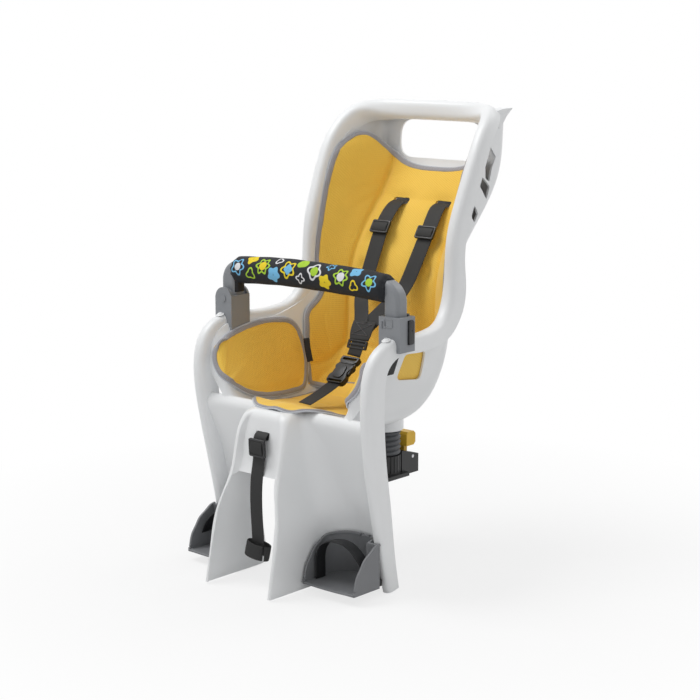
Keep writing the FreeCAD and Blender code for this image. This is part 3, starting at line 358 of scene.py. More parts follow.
def turned(line, centre, closed=True, steps=72):
    """Surface of revolution: a line of (radius, z) carried round an upright axis at (x, y)."""
    line = np.asarray(line, float)
    angle = np.linspace(0, 2 * np.pi, steps, endpoint=False)
    if closed:
        line = np.vstack([line, line[:1]])
    x = centre[0] + line[:, 0, None] * np.cos(angle)
    y = centre[1] + line[:, 0, None] * np.sin(angle)
    points = np.stack([x, y, line[:, 1, None] + 0 * x], -1)
    return points.reshape(-1, 3), grid_faces(len(line), steps, True)


def apply_all(item):
    """Bakes an object's modifiers into its mesh."""
    depsgraph = bpy.context.evaluated_depsgraph_get()
    baked = bpy.data.meshes.new_from_object(item.evaluated_get(depsgraph))
    item.modifiers.clear()
    old = item.data
    item.data = baked
    bpy.data.meshes.remove(old)
    return item


def cut_away(item, cutters, name):
    """Takes closed blocks out of a mesh with an exact boolean that is applied at once."""
    tool = new_object(name, np.zeros((0, 3)), [])
    work = bmesh.new()
    for points, faces in cutters:
        verts = [work.verts.new(point * MM) for point in points]
        for face in faces:
            work.faces.new([verts[index] for index in face])
    bmesh.ops.recalc_face_normals(work, faces=work.faces)
    work.to_mesh(tool.data)
    work.free()
    modifier = item.modifiers.new("Cut", "BOOLEAN")
    modifier.object = tool
    modifier.operation = "DIFFERENCE"
    modifier.solver = "EXACT"
    apply_all(item)
    bpy.data.objects.remove(tool, do_unlink=True)
    return item


def round_edges(item, radius, angle):
    """Rounds the edges that are sharper than an angle in degrees."""
    edges = item.modifiers.new("Edges", "BEVEL")
    edges.width = radius * MM
    edges.segments = 3
    edges.limit_method = "ANGLE"
    edges.angle_limit = np.radians(angle)
    return apply_all(item)


def join(items, name):
    """One object from several meshes."""
    work = bmesh.new()
    for item in items:
        work.from_mesh(item.data)
    mesh = bpy.data.meshes.new(name)
    work.to_mesh(mesh)
    work.free()
    for material in items[0].data.materials:
        mesh.materials.append(material)
    result = bpy.data.objects.new(name, mesh)
    bpy.context.collection.objects.link(result)
    for item in items:
        bpy.data.objects.remove(item, do_unlink=True)
    return result


def tilted(item, turn, place):
    """Turns a mesh about X by an angle in degrees and moves it, in its own data."""
    item.data.transform(Matrix.Translation(Vector(place) * MM) @ Matrix.Rotation(np.radians(turn), 4, "X"))
    return item


def finish_piece(item, body, nodes=(), sharp=None):
    """Rides on its body and stands for CAD nodes; edges sharper than an angle stay crisp."""
    if sharp is not None:
        item.data.polygons.foreach_set("use_smooth", np.ones(len(item.data.polygons), bool))
        item.data.set_sharp_from_angle(angle=np.radians(sharp))
    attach(item, body)
    if nodes:
        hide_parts(*nodes)
    return item


# Places in the tub

def tub_at(share):
    """Rows of the tub table at shares of the side line, from 0 at the top of the back to 1 at the front."""
    moved = np.diff(TUB, axis=0)
    travel = 0.6 * np.hypot(moved[:, 0], moved[:, 1]) + 0.4 * np.hypot(moved[:, 2], moved[:, 3])
    knots = np.concatenate([[0], np.cumsum(travel)]) / travel.sum()
    share = np.asarray(share, float)
    return spline(knots, TUB, share.ravel()).reshape(*share.shape, TUB.shape[1])


def tub_rows(count):
    """Evenly spread rows of the tub table."""
    return tub_at(np.linspace(0, 1, count))


def tub_length(rows):
    """Length of each row's wall from the back line to the rim, and the radius of its rounded corner."""
    length = np.hypot(rows[..., 2] - rows[..., 0], rows[..., 3] - rows[..., 1])
    return length, np.minimum(rows[..., 5], length - 8)


def tub_place(rows, across, height):
    """Points at distances across the seat and heights from the back line towards the rim."""
    rise = unit(np.stack([0 * rows[..., 0], rows[..., 2] - rows[..., 0], rows[..., 3] - rows[..., 1]], -1))
    base = np.stack(np.broadcast_arrays(across, rows[..., 0], rows[..., 1]), -1)
    return base + rise * height[..., None]


def tub_wall(share, height, inset):
    """Half width of the side wall: straight above the rounded corner, and on its circle below that."""
    row = tub_at(share)
    length, corner = tub_length(row)
    half, rim_half = row[..., 4], row[..., 6]
    straight = half + (rim_half - half) * (height - corner) / (length - corner) - inset
    round_part = half - corner + np.sqrt(np.maximum((corner - inset) ** 2 - (corner - height) ** 2, 0))
    return np.where(height >= corner, straight, round_part)


def tub_section(rows, inset):
    """U section: down one side wall, round a quarter circle, across the back and up again, at an inset."""
    rows = rows[:, None]
    length, corner = tub_length(rows)
    half, rim_half = rows[..., 4], rows[..., 6]
    down = np.linspace(0, 1, 10, endpoint=False)[None]
    side_x = rim_half + (half - rim_half) * down - inset
    side_h = length + (corner - length) * down
    turn = np.linspace(0, QUARTER_TURN, 9, endpoint=False)[None]
    arc_x = half - corner + (corner - inset) * np.cos(turn)
    arc_h = corner - (corner - inset) * np.sin(turn)
    flat_x = (half - corner) * np.linspace(1, 0, 12)[None]
    flat_h = np.full_like(flat_x, inset)
    across = np.concatenate([side_x, arc_x, flat_x], axis=1)
    height = np.concatenate([side_h, arc_h, flat_h], axis=1)
    across = np.concatenate([across, -across[:, -2::-1]], axis=1)
    height = np.concatenate([height, height[:, -2::-1]], axis=1)
    return tub_place(rows, across, height)


# Shell

def rim_grid(wall):
    """Open channel along the rim's path: straight sides joined by a soft half round at the front.

    The outer side is shorter beside the back, where the tub's wall shows behind it.
    """
    knots = distances(RIM[:, :3])
    rows = spline(knots, RIM, np.linspace(0, knots[-1], 130))
    forward = np.gradient(rows[:, :3], axis=0)
    forward[-1] = (-1, 0, 0)
    forward = unit(forward)
    open_side = np.stack([0 * forward[:, 0], forward[:, 2] + np.abs(forward[:, 0]), -forward[:, 1]], -1)
    across = unit(np.cross(forward, open_side))
    open_side = np.cross(across, forward)

    def channel(inset):
        """One side of the channel's wall, at an inset from the outer side."""
        half, depth = rows[:, 3:4] - inset, rows[:, 4:5] - inset
        turn = np.linspace(0, np.pi, 21)[None]
        power = 2 / 2.7
        lip = depth + inset
        shorter = 0.65 * ease(330, 420, rows[:, 2:3])
        side = np.linspace(1, 0, 5, endpoint=False)[None]
        side_x = np.repeat(half, 5, axis=1)
        first = lip * side * (1 - shorter * np.clip(across[:, :1], 0, 1))
        last = lip * side * (1 - shorter * np.clip(-across[:, :1], 0, 1))
        x = np.concatenate([side_x, half * squared(np.cos(turn), power), -side_x], axis=1)
        y = np.concatenate([first, -depth * squared(np.sin(turn), power), last[:, ::-1]], axis=1)
        return carried(rows[:, :3], across, open_side, x, y)

    outer, inner = channel(0), channel(wall)
    both = [np.concatenate([grid, mirror(grid)[-2::-1]]) for grid in (outer, inner)]
    return swept_sheet(*both)


def top_flange(wall):
    """Lip from the top bar back to a sharp rear edge, then down over the tub: four lines joined straight."""
    x = np.linspace(-153, 153, 61)
    size = np.abs(x)
    front_y = np.interp(size, [0, 56, 112, 135, 153], [224, 222, 211, 199, 186])
    front_z = np.interp(size, [0, 56, 112, 135, 153], [667, 667, 667, 663, 655])
    corner_rise = 2 * (size / 153) ** 4
    rear_y, rear_z = 241 + corner_rise, 663.5 + corner_rise
    drop = 3 + 13 * (1 - ease(112, 138, size))
    lines = [(front_y - 2, front_z - 6), (front_y, front_z), (rear_y, rear_z),
             (rear_y - 2.5, rear_z - drop)]
    top = np.stack([np.stack([x, y, z], -1) for y, z in lines])
    inside = top - np.array([(0, 2, 1), (0, 1, 1), (0, 1, 1), (0, 1, 0)])[:, None] * wall
    return swept_sheet(top, inside)


def flange_ear(side):
    """Thin web under a rear corner of the top flange, from the rim to the corner and down to the tub."""
    corners = [(184, 640), (190, 660), (214, 664), (243.5, 664.8), (226, 651), (208, 630)]
    low, high = sorted((side * 148.5, side * 152.8))
    return prism(rounded_outline(corners, 3), 0, low, high)


def horn_rows(count):
    """Rows of the horn table at evenly spread heights."""
    return spline(HORN[:, 0], HORN, np.linspace(HORN[0, 0], HORN[-1, 0], count))


def horn_line(rows, inset):
    """From a post along the leg wall, round to the horn's side, round its front corner and into the recess."""
    z, half, front, recess, corner, back, radius = rows.T[:, :, None]
    step = np.linspace(0, 1, 6, endpoint=False)[None]
    wall_x = WALL_END + (half + radius - WALL_END) * step
    wall_y = back + inset + 0 * step
    turn = np.linspace(QUARTER_TURN, np.pi, 14, endpoint=False)[None]
    bend_x = half + radius + (radius + inset) * np.cos(turn)
    bend_y = back - radius + (radius + inset) * np.sin(turn)
    step = np.linspace(0, 1, 10, endpoint=False)[None]
    side_x = half - inset + 0 * step
    side_y = back - radius + (front + corner - back + radius) * step
    tight = np.maximum(corner - inset, 0.6)
    turn = np.linspace(0, -QUARTER_TURN, 7)[None]
    nose_x = half - inset - tight + tight * np.cos(turn)
    nose_y = front + inset + tight + tight * np.sin(turn)
    face_x = (half - inset - tight) * (1 - np.linspace(0, 1, 17)[None, 1:])
    face_y = front + inset + recess * ease(0, 6, half - corner - 3 - face_x)
    x = np.concatenate([wall_x, bend_x, side_x, nose_x, face_x], axis=1)
    y = np.concatenate([wall_y, bend_y, side_y, nose_y, face_y], axis=1)
    x = np.concatenate([x, -x[:, -2::-1]], axis=1)
    y = np.concatenate([y, y[:, -2::-1]], axis=1)
    return np.stack([x, y, z + 0 * x], -1)


def horn_top(wall):
    """Crown behind the horn's top row: each line runs back from the row, level at first, then down."""
    row = horn_line(HORN[-1:], 0)[0]
    back = np.linspace(0, 1, 16)[:, None]
    size = np.abs(row[:, 0])
    end = -186 + 20 * ease(46, 75, size)
    x = row[:, 0] * (1 + 0.10 * back * (size < 70))
    y = row[:, 1] + (end - row[:, 1]) * back
    z = 172 + 1.6 * np.sin(np.pi * np.minimum(back * 1.3, 1)) - 15 * back ** 1.8 + 0 * x
    top = np.stack([x, y, z], -1)
    return swept_sheet(top, top - np.array([0, 0, wall]))


def behind_leg_wall(points, start=-150):
    """Draws the tub's front back until it ends in the leg wall: y is scaled in front of a start."""
    face = np.interp(points[..., 2], HORN[:, 0], HORN[:, 5]) + 1.5
    front = np.interp(points[..., 2], TUB[-1, [1, 3]], TUB[-1, [0, 2]])
    y = points[..., 1]
    points[..., 1] = np.where(y < start, start + (y - start) * (face - start) / (front - start), y)
    return points


def lengthened(grid, by):
    """Grid with one row more at its start, in line with the first two rows."""
    return np.concatenate([grid[:1] + (grid[:1] - grid[1:2]) * by, grid])


def collar_line(wall, radius=34.5, top=152, foot=88, edge=5):
    """Section of the collar round the suspension: a cup that is open below, with a rounded top edge."""
    turn = np.linspace(0, QUARTER_TURN, 6)
    bend = np.stack([radius - edge + edge * np.cos(turn), top - edge + edge * np.sin(turn)], -1)
    hollow = [(0.01, top - wall), (radius - wall, top - wall), (radius - wall, foot)]
    return np.vstack([[(radius - 1.2, foot), (radius, foot + 1.5)], bend, [(0.01, top)], hollow])


def tub_room(wall):
    """Closed block that fills the lower room of the tub, to trim the collar at its wall."""
    rows = tub_rows(80)
    rows = rows[(rows[:, 1] < 330) & (rows[:, 0] > -120)]
    reach = rows[:, 4] - rows[:, 5]
    across = np.stack([-reach, reach, reach, -reach], -1)
    height = np.tile([wall, wall, 60.0, 60.0], (len(rows), 1))
    return tub_place(rows[:, None], across, height).reshape(-1, 3), tube_faces(len(rows), 4)


# Outlines in y and z of the side windows and of the vents beside the back
REAR_WINDOW = [(-70, 226), (-66, 266), (-8, 264), (-2, 258), (2, 216), (-4, 211), (-62, 219)]
FRONT_WINDOW = [(-157, 259), (-146, 276), (-101, 276), (-103, 236), (-126, 232)]
VENTS = [[(168, 606), (179, 601), (199, 581), (186, 562), (180, 538), (166, 545), (164, 580)],
         [(150, 552), (162, 545), (182, 530), (174, 507), (160, 522), (148, 535)],
         [(130, 500), (140, 498), (150, 484), (139, 469), (130, 480)]]


def tub_cutters():
    """Windows, vents, strap slots and carry handle of the tub."""
    cutters = []
    for side in (-1, 1):
        for outlines, radius, reach in (((REAR_WINDOW, FRONT_WINDOW), 7, 176), (VENTS, 4, 200)):
            low, high = sorted((side * 120, side * reach))
            cutters += [prism(rounded_outline(outline, radius), 0, low, high) for outline in outlines]
        cutters.append(prism(rectangle(39, SLOT_LOW, SLOT_HIGH, 4, side * SLOT_X), 1, 150, 225))
    return cutters + [prism(rectangle(192, 567, 637, 34, steps=10), 1, 195, 270)]


def horn_cutters():
    """Way through under the horn and the slot of the front strap."""
    way = both_sides([(71, -140), (70.5, -60), (67, 0), (60, 28), (53, 48), (50, 60), (42, 67)])
    return [prism(way, 1, -340, -215), prism(rectangle(31, 125, 139, 4), 1, -265, -220)]


class SEAT_OT_shell(bpy.types.Operator):
    """Moulded shell: tub, rolled rim, horn and leg guards in place of the plain CAD one"""

    bl_idname = "bike_seat.shell"
    bl_label = "Shell"

    def execute(self, context):
        sizes = context.scene.seat_sizes
        wall, rim_wall = sizes.shell_wall / MM, sizes.rim_wall / MM
        rows = tub_rows(110)
        sides = [behind_leg_wall(lengthened(tub_section(rows, inset), 1.5)) for inset in (0, wall)]
        tub = cut_away(self.part("tub", swept_sheet(*sides)), tub_cutters(), "tub_cutters")
        rows = horn_rows(56)
        horn = self.part("horn", swept_sheet(horn_line(rows, 0), horn_line(rows, wall)))
        cut_away(horn, horn_cutters(), "horn_cutters")
        crown = self.part("crown", horn_top(wall))
        rim = self.part("rim", rim_grid(rim_wall))
        flange = self.part("flange", top_flange(rim_wall))
        collar = self.part("collar", turned(collar_line(wall), (SPRING_X, SPRING_Y)))
        cut_away(collar, [tub_room(wall)], "collar_cutter")
        ears = [self.part("ear", flange_ear(side)) for side in (-1, 1)]
        bumps = [self.part("post_bump", self.post_bump(side)) for side in (-1, 1)]
        shell = join([tub, horn, crown, rim, flange, collar, *ears, *bumps], "moulded_shell")
        finish_piece(shell, "seat", ["seat_shell"], sharp=32)
        return {"FINISHED"}

    def part(self, name, mesh):
        """Part of the shell from its points and faces, turned outwards."""
        return outward(new_object(name, *mesh, material=bpy.data.materials["shell"]))

    def post_bump(self, side):
        """Small dome with a sunk middle on top of a post: height over radius is a bell less a narrow dip."""
        radius = np.concatenate([np.linspace(7.5, 2, 12), np.linspace(1.7, 0, 4)])
        height = 3.4 * np.exp(-(radius / 5.2) ** 4) - 1.6 * (radius < 1.8) - 1.0
        points, faces = turned(np.stack([radius, height], -1), (0, 0), closed=False)
        lean = np.radians(20)
        forward = points[:, 1] * np.cos(lean) - points[:, 2] * np.sin(lean)
        upward = points[:, 1] * np.sin(lean) + points[:, 2] * np.cos(lean)
        return np.stack([points[:, 0] + side * 192, forward - 150, upward + 306.5], -1), faces


# Padding

def edge_line(points, count, scale):
    """Smooth line through points of a flat outline, sampled evenly after scaling its two axes."""
    scale = np.asarray(scale, float)
    return along(np.asarray(points, float) * scale, count) / scale


def patch(top, right, bottom, left):
    """Coons patch: opposite edges blended across and down, less the blend of the four corners."""
    a = np.linspace(0, 1, len(top))[None, :, None]
    b = np.linspace(0, 1, len(left))[:, None, None]
    across = (1 - b) * top[None] + b * bottom[None]
    down = (1 - a) * left[:, None] + a * right[:, None]
    corners = (1 - b) * ((1 - a) * top[0] + a * top[-1]) + b * ((1 - a) * bottom[0] + a * bottom[-1])
    return across + down - corners


def grid_normals(grid):
    """Unit normals of a grid of points: the cross product of its two directions."""
    normal = np.cross(np.gradient(grid, axis=0), np.gradient(grid, axis=1))
    return normal / np.maximum(np.linalg.norm(normal, axis=-1), 1e-9)[..., None]


def grid_lengths(grid):
    """Real distances over a grid: across from its middle column, down from its first row, to its edge."""
    across = np.linalg.norm(np.diff(grid, axis=1), axis=-1)
    across = np.concatenate([np.zeros((len(grid), 1)), np.cumsum(across, axis=1)], axis=1)
    down = np.linalg.norm(np.diff(grid, axis=0), axis=-1)
    down = np.concatenate([np.zeros((1, grid.shape[1])), np.cumsum(down, axis=0)], axis=0)
    edge = np.minimum(np.minimum(across, across[:, -1:] - across), np.minimum(down, down[-1:] - down))
    middle = grid.shape[1] // 2
    return across - across[:, middle, None], down[:, middle, None] + 0 * down, edge


def puffed(front, back, held, swell, steps=20):
    """Front of a pad after cloth simulation under pressure, its moves eased off towards a limit in mm."""
    points, faces = closed_pad(front, back)
    item = new_object("puff", points, faces)
    group = item.vertex_groups.new(name="held")
    front_count = held.size
    pinned = np.concatenate([np.flatnonzero(held.ravel()), np.arange(front_count, len(points))])
    group.add(pinned.tolist(), 1.0, "REPLACE")
    cloth = item.modifiers.new("Cloth", "CLOTH")
    cloth.settings.vertex_group_mass = "held"
    cloth.settings.use_pressure = True
    cloth.settings.uniform_pressure_force = 4
    cloth.settings.effector_weights.gravity = 0
    cloth.settings.quality = 4
    cloth.point_cache.frame_start = 1
    cloth.point_cache.frame_end = steps
    scene = bpy.context.scene
    for step in range(1, steps + 1):
        scene.frame_set(step)
    result = item.evaluated_get(bpy.context.evaluated_depsgraph_get()).data
    found = np.zeros(len(points) * 3)
    result.vertices.foreach_get("co", found)
    found = found.reshape(-1, 3)[:front_count].reshape(front.shape) / MM
    scene.frame_set(1)
    bpy.data.objects.remove(item, do_unlink=True)
    move = found - front
    length = np.maximum(np.linalg.norm(move, axis=-1), 1e-6)[..., None]
    return front + move * (swell * np.tanh(length / swell) / length)


def closed_pad(front, back):
    """Closed form between a front grid and a back grid, joined round their edges."""
    rows, columns = front.shape[:2]
    count = rows * columns
    index = np.arange(count).reshape(rows, columns)
    ring = np.concatenate([index[0, :-1], index[:-1, -1], index[-1, :0:-1], index[:0:-1, 0]])
    after = np.roll(ring, -1)
    sides = np.stack([ring, after, after + count, ring + count], -1)
    face = grid_faces(rows, columns)
    return (np.vstack([front.reshape(-1, 3), back.reshape(-1, 3)]),
            np.vstack([face[:, ::-1], face + count, sides]))


def pad_piece(name, front, back, front_material, back_material):
    """Finished pad: its UVs are real lengths, its back takes a material of its own, and it is subdivided once.
    """
    across, down, edge = grid_lengths(front)
    uv = np.stack([across, down], -1).reshape(-1, 2)
    points, faces = closed_pad(front, back)
    item = new_object(name, points, faces, np.vstack([uv, uv]), bpy.data.materials[front_material])
    item.data.materials.append(bpy.data.materials[back_material])
    quads = (front.shape[0] - 1) * (front.shape[1] - 1)
    which = np.zeros(len(item.data.polygons), np.int32)
    which[quads:2 * quads] = 1
    item.data.polygons.foreach_set("material_index", which)
    smoother = item.modifiers.new("Smooth", "SUBSURF")
    smoother.levels = smoother.render_levels = 1
    return apply_all(item)


def edge_ring(front, back):
    """Once round a pad's edge: middle of the edge, outward normal of the face and way towards the pad."""
    inward = np.zeros_like(front)
    inward[0], inward[-1] = front[2] - front[0], front[-3] - front[-1]
    inward[1:-1, 0] = front[1:-1, 2] - front[1:-1, 0]
    inward[1:-1, -1] = front[1:-1, -3] - front[1:-1, -1]
    for row, column in ((0, 0), (0, -1), (-1, 0), (-1, -1)):
        near = front[2 if row == 0 else -3, 2 if column == 0 else -3]
        inward[row, column] = near - front[row, column]
    table = np.concatenate([(front + back) / 2, grid_normals(front), inward], -1)
    return np.concatenate([table[0, :-1], table[:-1, -1], table[-1, :0:-1], table[:0:-1, 0]])


def bound_edge(front, back, name, width=9.0, spacing=3.5):
    """Binding tape folded round a pad's edge, and the thin piping outside it.

    Both are profiles carried round the edge's ring, which a bell of weights smooths first: a squared off
    circle that swells and shrinks a little for the tape, and a circle for the piping.
    """
    ring = edge_ring(front, back)
    ring = along(ring, int(distances(ring[:, :3])[-1] / spacing), closed=True)
    shifts = np.arange(-6, 7)
    weights = np.exp(-0.5 * (shifts / 2.4) ** 2)
    weights /= weights.sum()
    ring = sum(weight * np.roll(ring, shift, axis=0) for shift, weight in zip(shifts, weights))
    middle, facing, inward = ring[:, :3], ring[:, 3:6], ring[:, 6:]
    tangent = unit(np.roll(middle, -1, axis=0) - np.roll(middle, 1, axis=0))
    inward = unit(inward - tangent * np.sum(inward * tangent, axis=1)[:, None])
    normal = np.cross(inward, tangent)
    normal *= np.sign(np.sum(normal * facing, axis=1))[:, None]
    travel = distances(middle)
    wave = 0.25 * np.sin(travel / 4.1)[:, None] + 0.2 * np.sin(travel / 6.7 + 1)[:, None]
    turn = np.linspace(0, FULL_TURN, 14, endpoint=False)
    across = width / 2 - 1.5 + (width / 2) * squared(np.cos(turn), 0.7)
    tape = carried(middle, inward, normal, across, (2.7 + wave) * squared(np.sin(turn), 0.8))
    turn = np.linspace(0, FULL_TURN, 8, endpoint=False)
    cord = carried(middle - inward * 2.1, inward, normal, 1.5 * np.cos(turn), 1.5 * np.sin(turn))
    lengths = np.concatenate([travel, [travel[-1] + spacing]])
    pieces = []
    for label, loops in (("binding", tape), ("piping", cord)):
        closed = np.concatenate([loops, loops[:1]])
        steps = closed.shape[1]
        uv = np.stack(np.broadcast_arrays(np.arange(steps) * 24.0 / steps, lengths[:, None]), -1)
        item = new_object(f"{name}_{label}", closed, grid_faces(len(closed), steps, True), uv,
                          bpy.data.materials[label])
        outward(item)
        pieces.append(item)
    return pieces


def finish_pad(item, trims, nodes):
    """A pad and its trims ride on the seat; the pad stands for its CAD solids."""
    finish_piece(item, "seat", nodes)
    for trim in trims:
        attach(trim, "seat")
    return item


# Half outline of the back pad: share across the back, share of the tub's side line
BACK_TOP = [(0, 0.1475), (0.163, 0.147), (0.40, 0.138), (0.565, 0.117), (0.66, 0.090), (0.75, 0.067),
            (0.85, 0.054), (0.94, 0.053)]
BACK_SIDE = [(0.94, 0.053), (0.985, 0.070), (1, 0.10), (1, 0.16), (1, 0.24), (1, 0.33), (1, 0.408),
             (0.965, 0.46), (0.94, 0.505), (0.955, 0.55), (0.96, 0.598), (0.91, 0.63), (0.80, 0.68),
             (0.66, 0.705)]
BACK_LOW = [(0.66, 0.705), (0.55, 0.685), (0.25, 0.667), (0, 0.665)]
# Seam between the middle and the wing: share of the side line, share across
BACK_SEAM = np.array([(0.08, 0.60), (0.12, 0.575), (0.24, 0.587), (0.335, 0.575), (0.395, 0.587),
                      (0.49, 0.600), (0.57, 0.587), (0.615, 0.6625), (0.665, 0.775), (0.72, 0.90)])


def both_ways(half):
    """Line through a half outline and its mirror image, from the left end to the right end."""
    half = np.asarray(half, float)
    return np.vstack([half[:0:-1] * (-1, 1), half])


def back_place(across, share):
    """Front of the back pad: level out to a seam, then straight to the wing's edge, bowed in the bucket."""
    row = tub_at(share)
    length, corner = tub_length(row)
    half, rim_half = row[..., 4], row[..., 6]
    top = length - 4 + 15 * (1 - ease(0.42, 0.50, share)) * ease(0.03, 0.10, share)
    edge = np.minimum(half + (rim_half - half) * (top - corner) / (length - corner) - 8.5, 148.5)
    edge = np.where(share > 0.45, np.maximum(edge, 141), edge)
    seam_x = np.interp(share, [0.57, 0.615, 0.665], [99, 107, 117])
    seam_h = np.interp(share, [0.57, 0.615, 0.665], [15, 24, 34])
    seam = 0.58
    size = np.abs(across)
    level = np.clip(size / seam, 0, 1)
    wing = np.clip((size - seam) / (1 - seam), 0, 1)
    x = seam_x * level + (edge - seam_x) * wing
    h = 13 + (seam_h - 13) * level ** 3 + (top - seam_h) * wing
    bucket = np.clip((share - 0.50) / 0.16, 0, 1) * 0.8
    bow = 4 * wing * (1 - wing) * bucket
    x = x + bow * (half - 20 - (99 + edge) / 2) * 0.6
    h = h - bow * ((top + 16) / 2 - 22) * 0.6
    return tub_place(row, np.sign(across) * x, h)


class SEAT_OT_back_pad(bpy.types.Operator):
    """Back pad with raised wings, sewn channels, tufts and strap openings, swelled by cloth simulation"""

    bl_idname = "bike_seat.back_pad"
    bl_label = "Back pad"

    def execute(self, context):
        swell = context.scene.seat_sizes.swell / MM
        scale = (190, 900)
        columns, rows = 97, 119
        side = edge_line(BACK_SIDE, rows, scale)
        grid = patch(edge_line(both_ways(BACK_TOP), columns, scale), side,
                     edge_line(both_ways(BACK_LOW[::-1]), columns, scale), side * (-1, 1))
        across, share = grid[..., 0], grid[..., 1]
        place = back_place(across, share)
        facing = grid_normals(place)
        edge = grid_lengths(place)[2]
        full = 1 - np.exp(-edge / 9)
        front = place - facing * (4.0 * (1 - full))[..., None]
        back = front - facing * (3 + 4.6 * full)[..., None]
        seam = np.abs(np.abs(across) - np.interp(share, *BACK_SEAM.T)) * 185
        tufts = sum(dip(np.abs(np.abs(across) - x), 0, 0.05) * dip(share, s, 0.016)
                    for x, s in ((0.438, 0.333), (0.45, 0.405), (0.47, 0.565)))
        slots = dip(np.abs(np.abs(across) - 0.275), 0, 0.13) ** 0.5 * dip(share, 0.232, 0.016)
        held = (edge < 1) | (seam < 2.6) | (tufts > 0.55) | (slots > 0.85)
        front = puffed(front, back, held, swell)
        groove = 4.0 * dip(seam, 0, 3.6) * ease(0, 14, edge) + 4.5 * tufts + 4.0 * slots
        front = front - grid_normals(front) * groove[..., None]
        pad = pad_piece("cushion_back", front, back, "padding", "padding_back")
        holes = [prism(rectangle(36, SLOT_LOW + 0.5, SLOT_HIGH - 1.5, 4, side * (SLOT_X + 0.5)), 1, 140, 225)
                 for side in (-1, 1)]
        cut_away(pad, holes, "strap_openings")
        finish_pad(pad, bound_edge(front, back, "cushion_back"), ["back_pad"])
        return {"FINISHED"}


# Top of the seat pad: y and height; then its half outline: x and y
SEAT_LINE = np.array([(-220, 181), (-205, 184), (-190, 184), (-175, 181), (-162, 176.4), (-150, 172),
                      (-137, 166.9), (-120, 162.1), (-100, 159.5), (-60, 155.5), (0, 157.1), (40, 168.9),
                      (60, 181)])
SEAT_FRONT = [(0, -218), (32, -217), (56, -203), (76, -180)]
SEAT_SIDE = [(76, -180), (90, -158), (104, -132), (112, -100), (110, -50), (107, 0), (100, 44)]
SEAT_BACK = [(100, 44), (60, 50), (0, 52)]


class SEAT_OT_seat_pad(bpy.types.Operator):
    """Seat cushion whose rounded front lies over the horn in soft waves"""

    bl_idname = "bike_seat.seat_pad"
    bl_label = "Seat pad"

    def execute(self, context):
        swell = context.scene.seat_sizes.swell / MM
        columns, rows = 61, 81
        side = edge_line(SEAT_SIDE, rows, (1, 1))[::-1]
        grid = patch(edge_line(both_ways(SEAT_BACK[::-1]), columns, (1, 1)), side,
                     edge_line(both_ways(SEAT_FRONT), columns, (1, 1)), side * (-1, 1))
        x, y = grid[..., 0], grid[..., 1]
        front_share = ease(-150, -205, y)
        wave = front_share * (1.8 * np.sin(x / 13.0 + 1.2) + 1.2 * np.sin(x / 7.0) + 1.5)
        z = np.interp(y, *SEAT_LINE.T) + wave - 5 + 0.0012 * np.maximum(np.abs(x) - 70, 0) ** 2
        place = np.stack([x, y, z], -1)
        facing = grid_normals(place)
        edge = grid_lengths(place)[2]
        full = 1 - np.exp(-edge / 12)
        front = place - facing * (2.0 * (1 - full))[..., None]
        back = front - facing * (2.6 + 9.0 * full * (1 - 0.6 * front_share))[..., None]
        front = puffed(front, back, edge < 1, swell)
        pad = pad_piece("cushion_seat", front, back, "padding", "padding_back")
        finish_pad(pad, bound_edge(front, back, "cushion_seat", width=5.0), ["seat_pad"])
        return {"FINISHED"}


# Outline of a side pad: share of the tub's side line, height on the side wall
LOBE_TOP = [(0.935, 103), (0.90, 130), (0.848, 151), (0.76, 163), (0.70, 166), (0.672, 160)]
LOBE_REAR = [(0.672, 160), (0.650, 138), (0.657, 101.5), (0.69, 64), (0.722, 34)]
LOBE_LOW = [(0.950, 40), (0.915, 32), (0.877, 30), (0.80, 29), (0.722, 34)]
LOBE_FRONT = [(0.935, 103), (0.968, 84), (0.977, 66), (0.970, 51), (0.950, 40)]


class SEAT_OT_side_pads(bpy.types.Operator):
    """Side pads beside the child's hips, lying on the walls of the bucket"""

    bl_idname = "bike_seat.side_pads"
    bl_label = "Side pads"

    def execute(self, context):
        swell = context.scene.seat_sizes.swell / MM
        scale = (900, 1)
        columns, rows = 71, 45
        grid = patch(edge_line(LOBE_TOP, columns, scale), edge_line(LOBE_REAR, rows, scale),
                     edge_line(LOBE_LOW, columns, scale), edge_line(LOBE_FRONT, rows, scale))
        share, height = grid[..., 0], grid[..., 1]
        row = tub_at(share)
        flat = tub_place(row, tub_wall(share, height, 8), height)
        full = 1 - np.exp(-grid_lengths(flat)[2] / 16)
        front = tub_place(row, tub_wall(share, height, 8.4 + 5 * full), height)
        back = tub_place(row, tub_wall(share, height, 5.4 + 0 * full), height)
        front = puffed(front, back, grid_lengths(front)[2] < 1, swell)
        for side, label in ((1, "left"), (-1, "right")):
            sides = [grid[:, ::-1] if side > 0 else mirror(grid) for grid in (front, back)]
            name = f"cushion_side_{label}"
            pad = pad_piece(name, *sides, "padding", "padding")
            finish_pad(pad, bound_edge(*sides, name), [f"side_pad_{label}"])
        return {"FINISHED"}


# Webbing and buckles

def back_of_tub(height):
    """y of the tub's back at heights above its floor."""
    rows = tub_at(np.linspace(0, 0.6, 121))[::-1]
    return np.interp(height, rows[:, 1], rows[:, 0])


def before_back(route):
    """Points from (x, height, distance in front of the tub's back)."""
    route = np.asarray(route, float)
    return np.stack([route[:, 0], back_of_tub(route[:, 1]) - route[:, 2], route[:, 1]], -1)


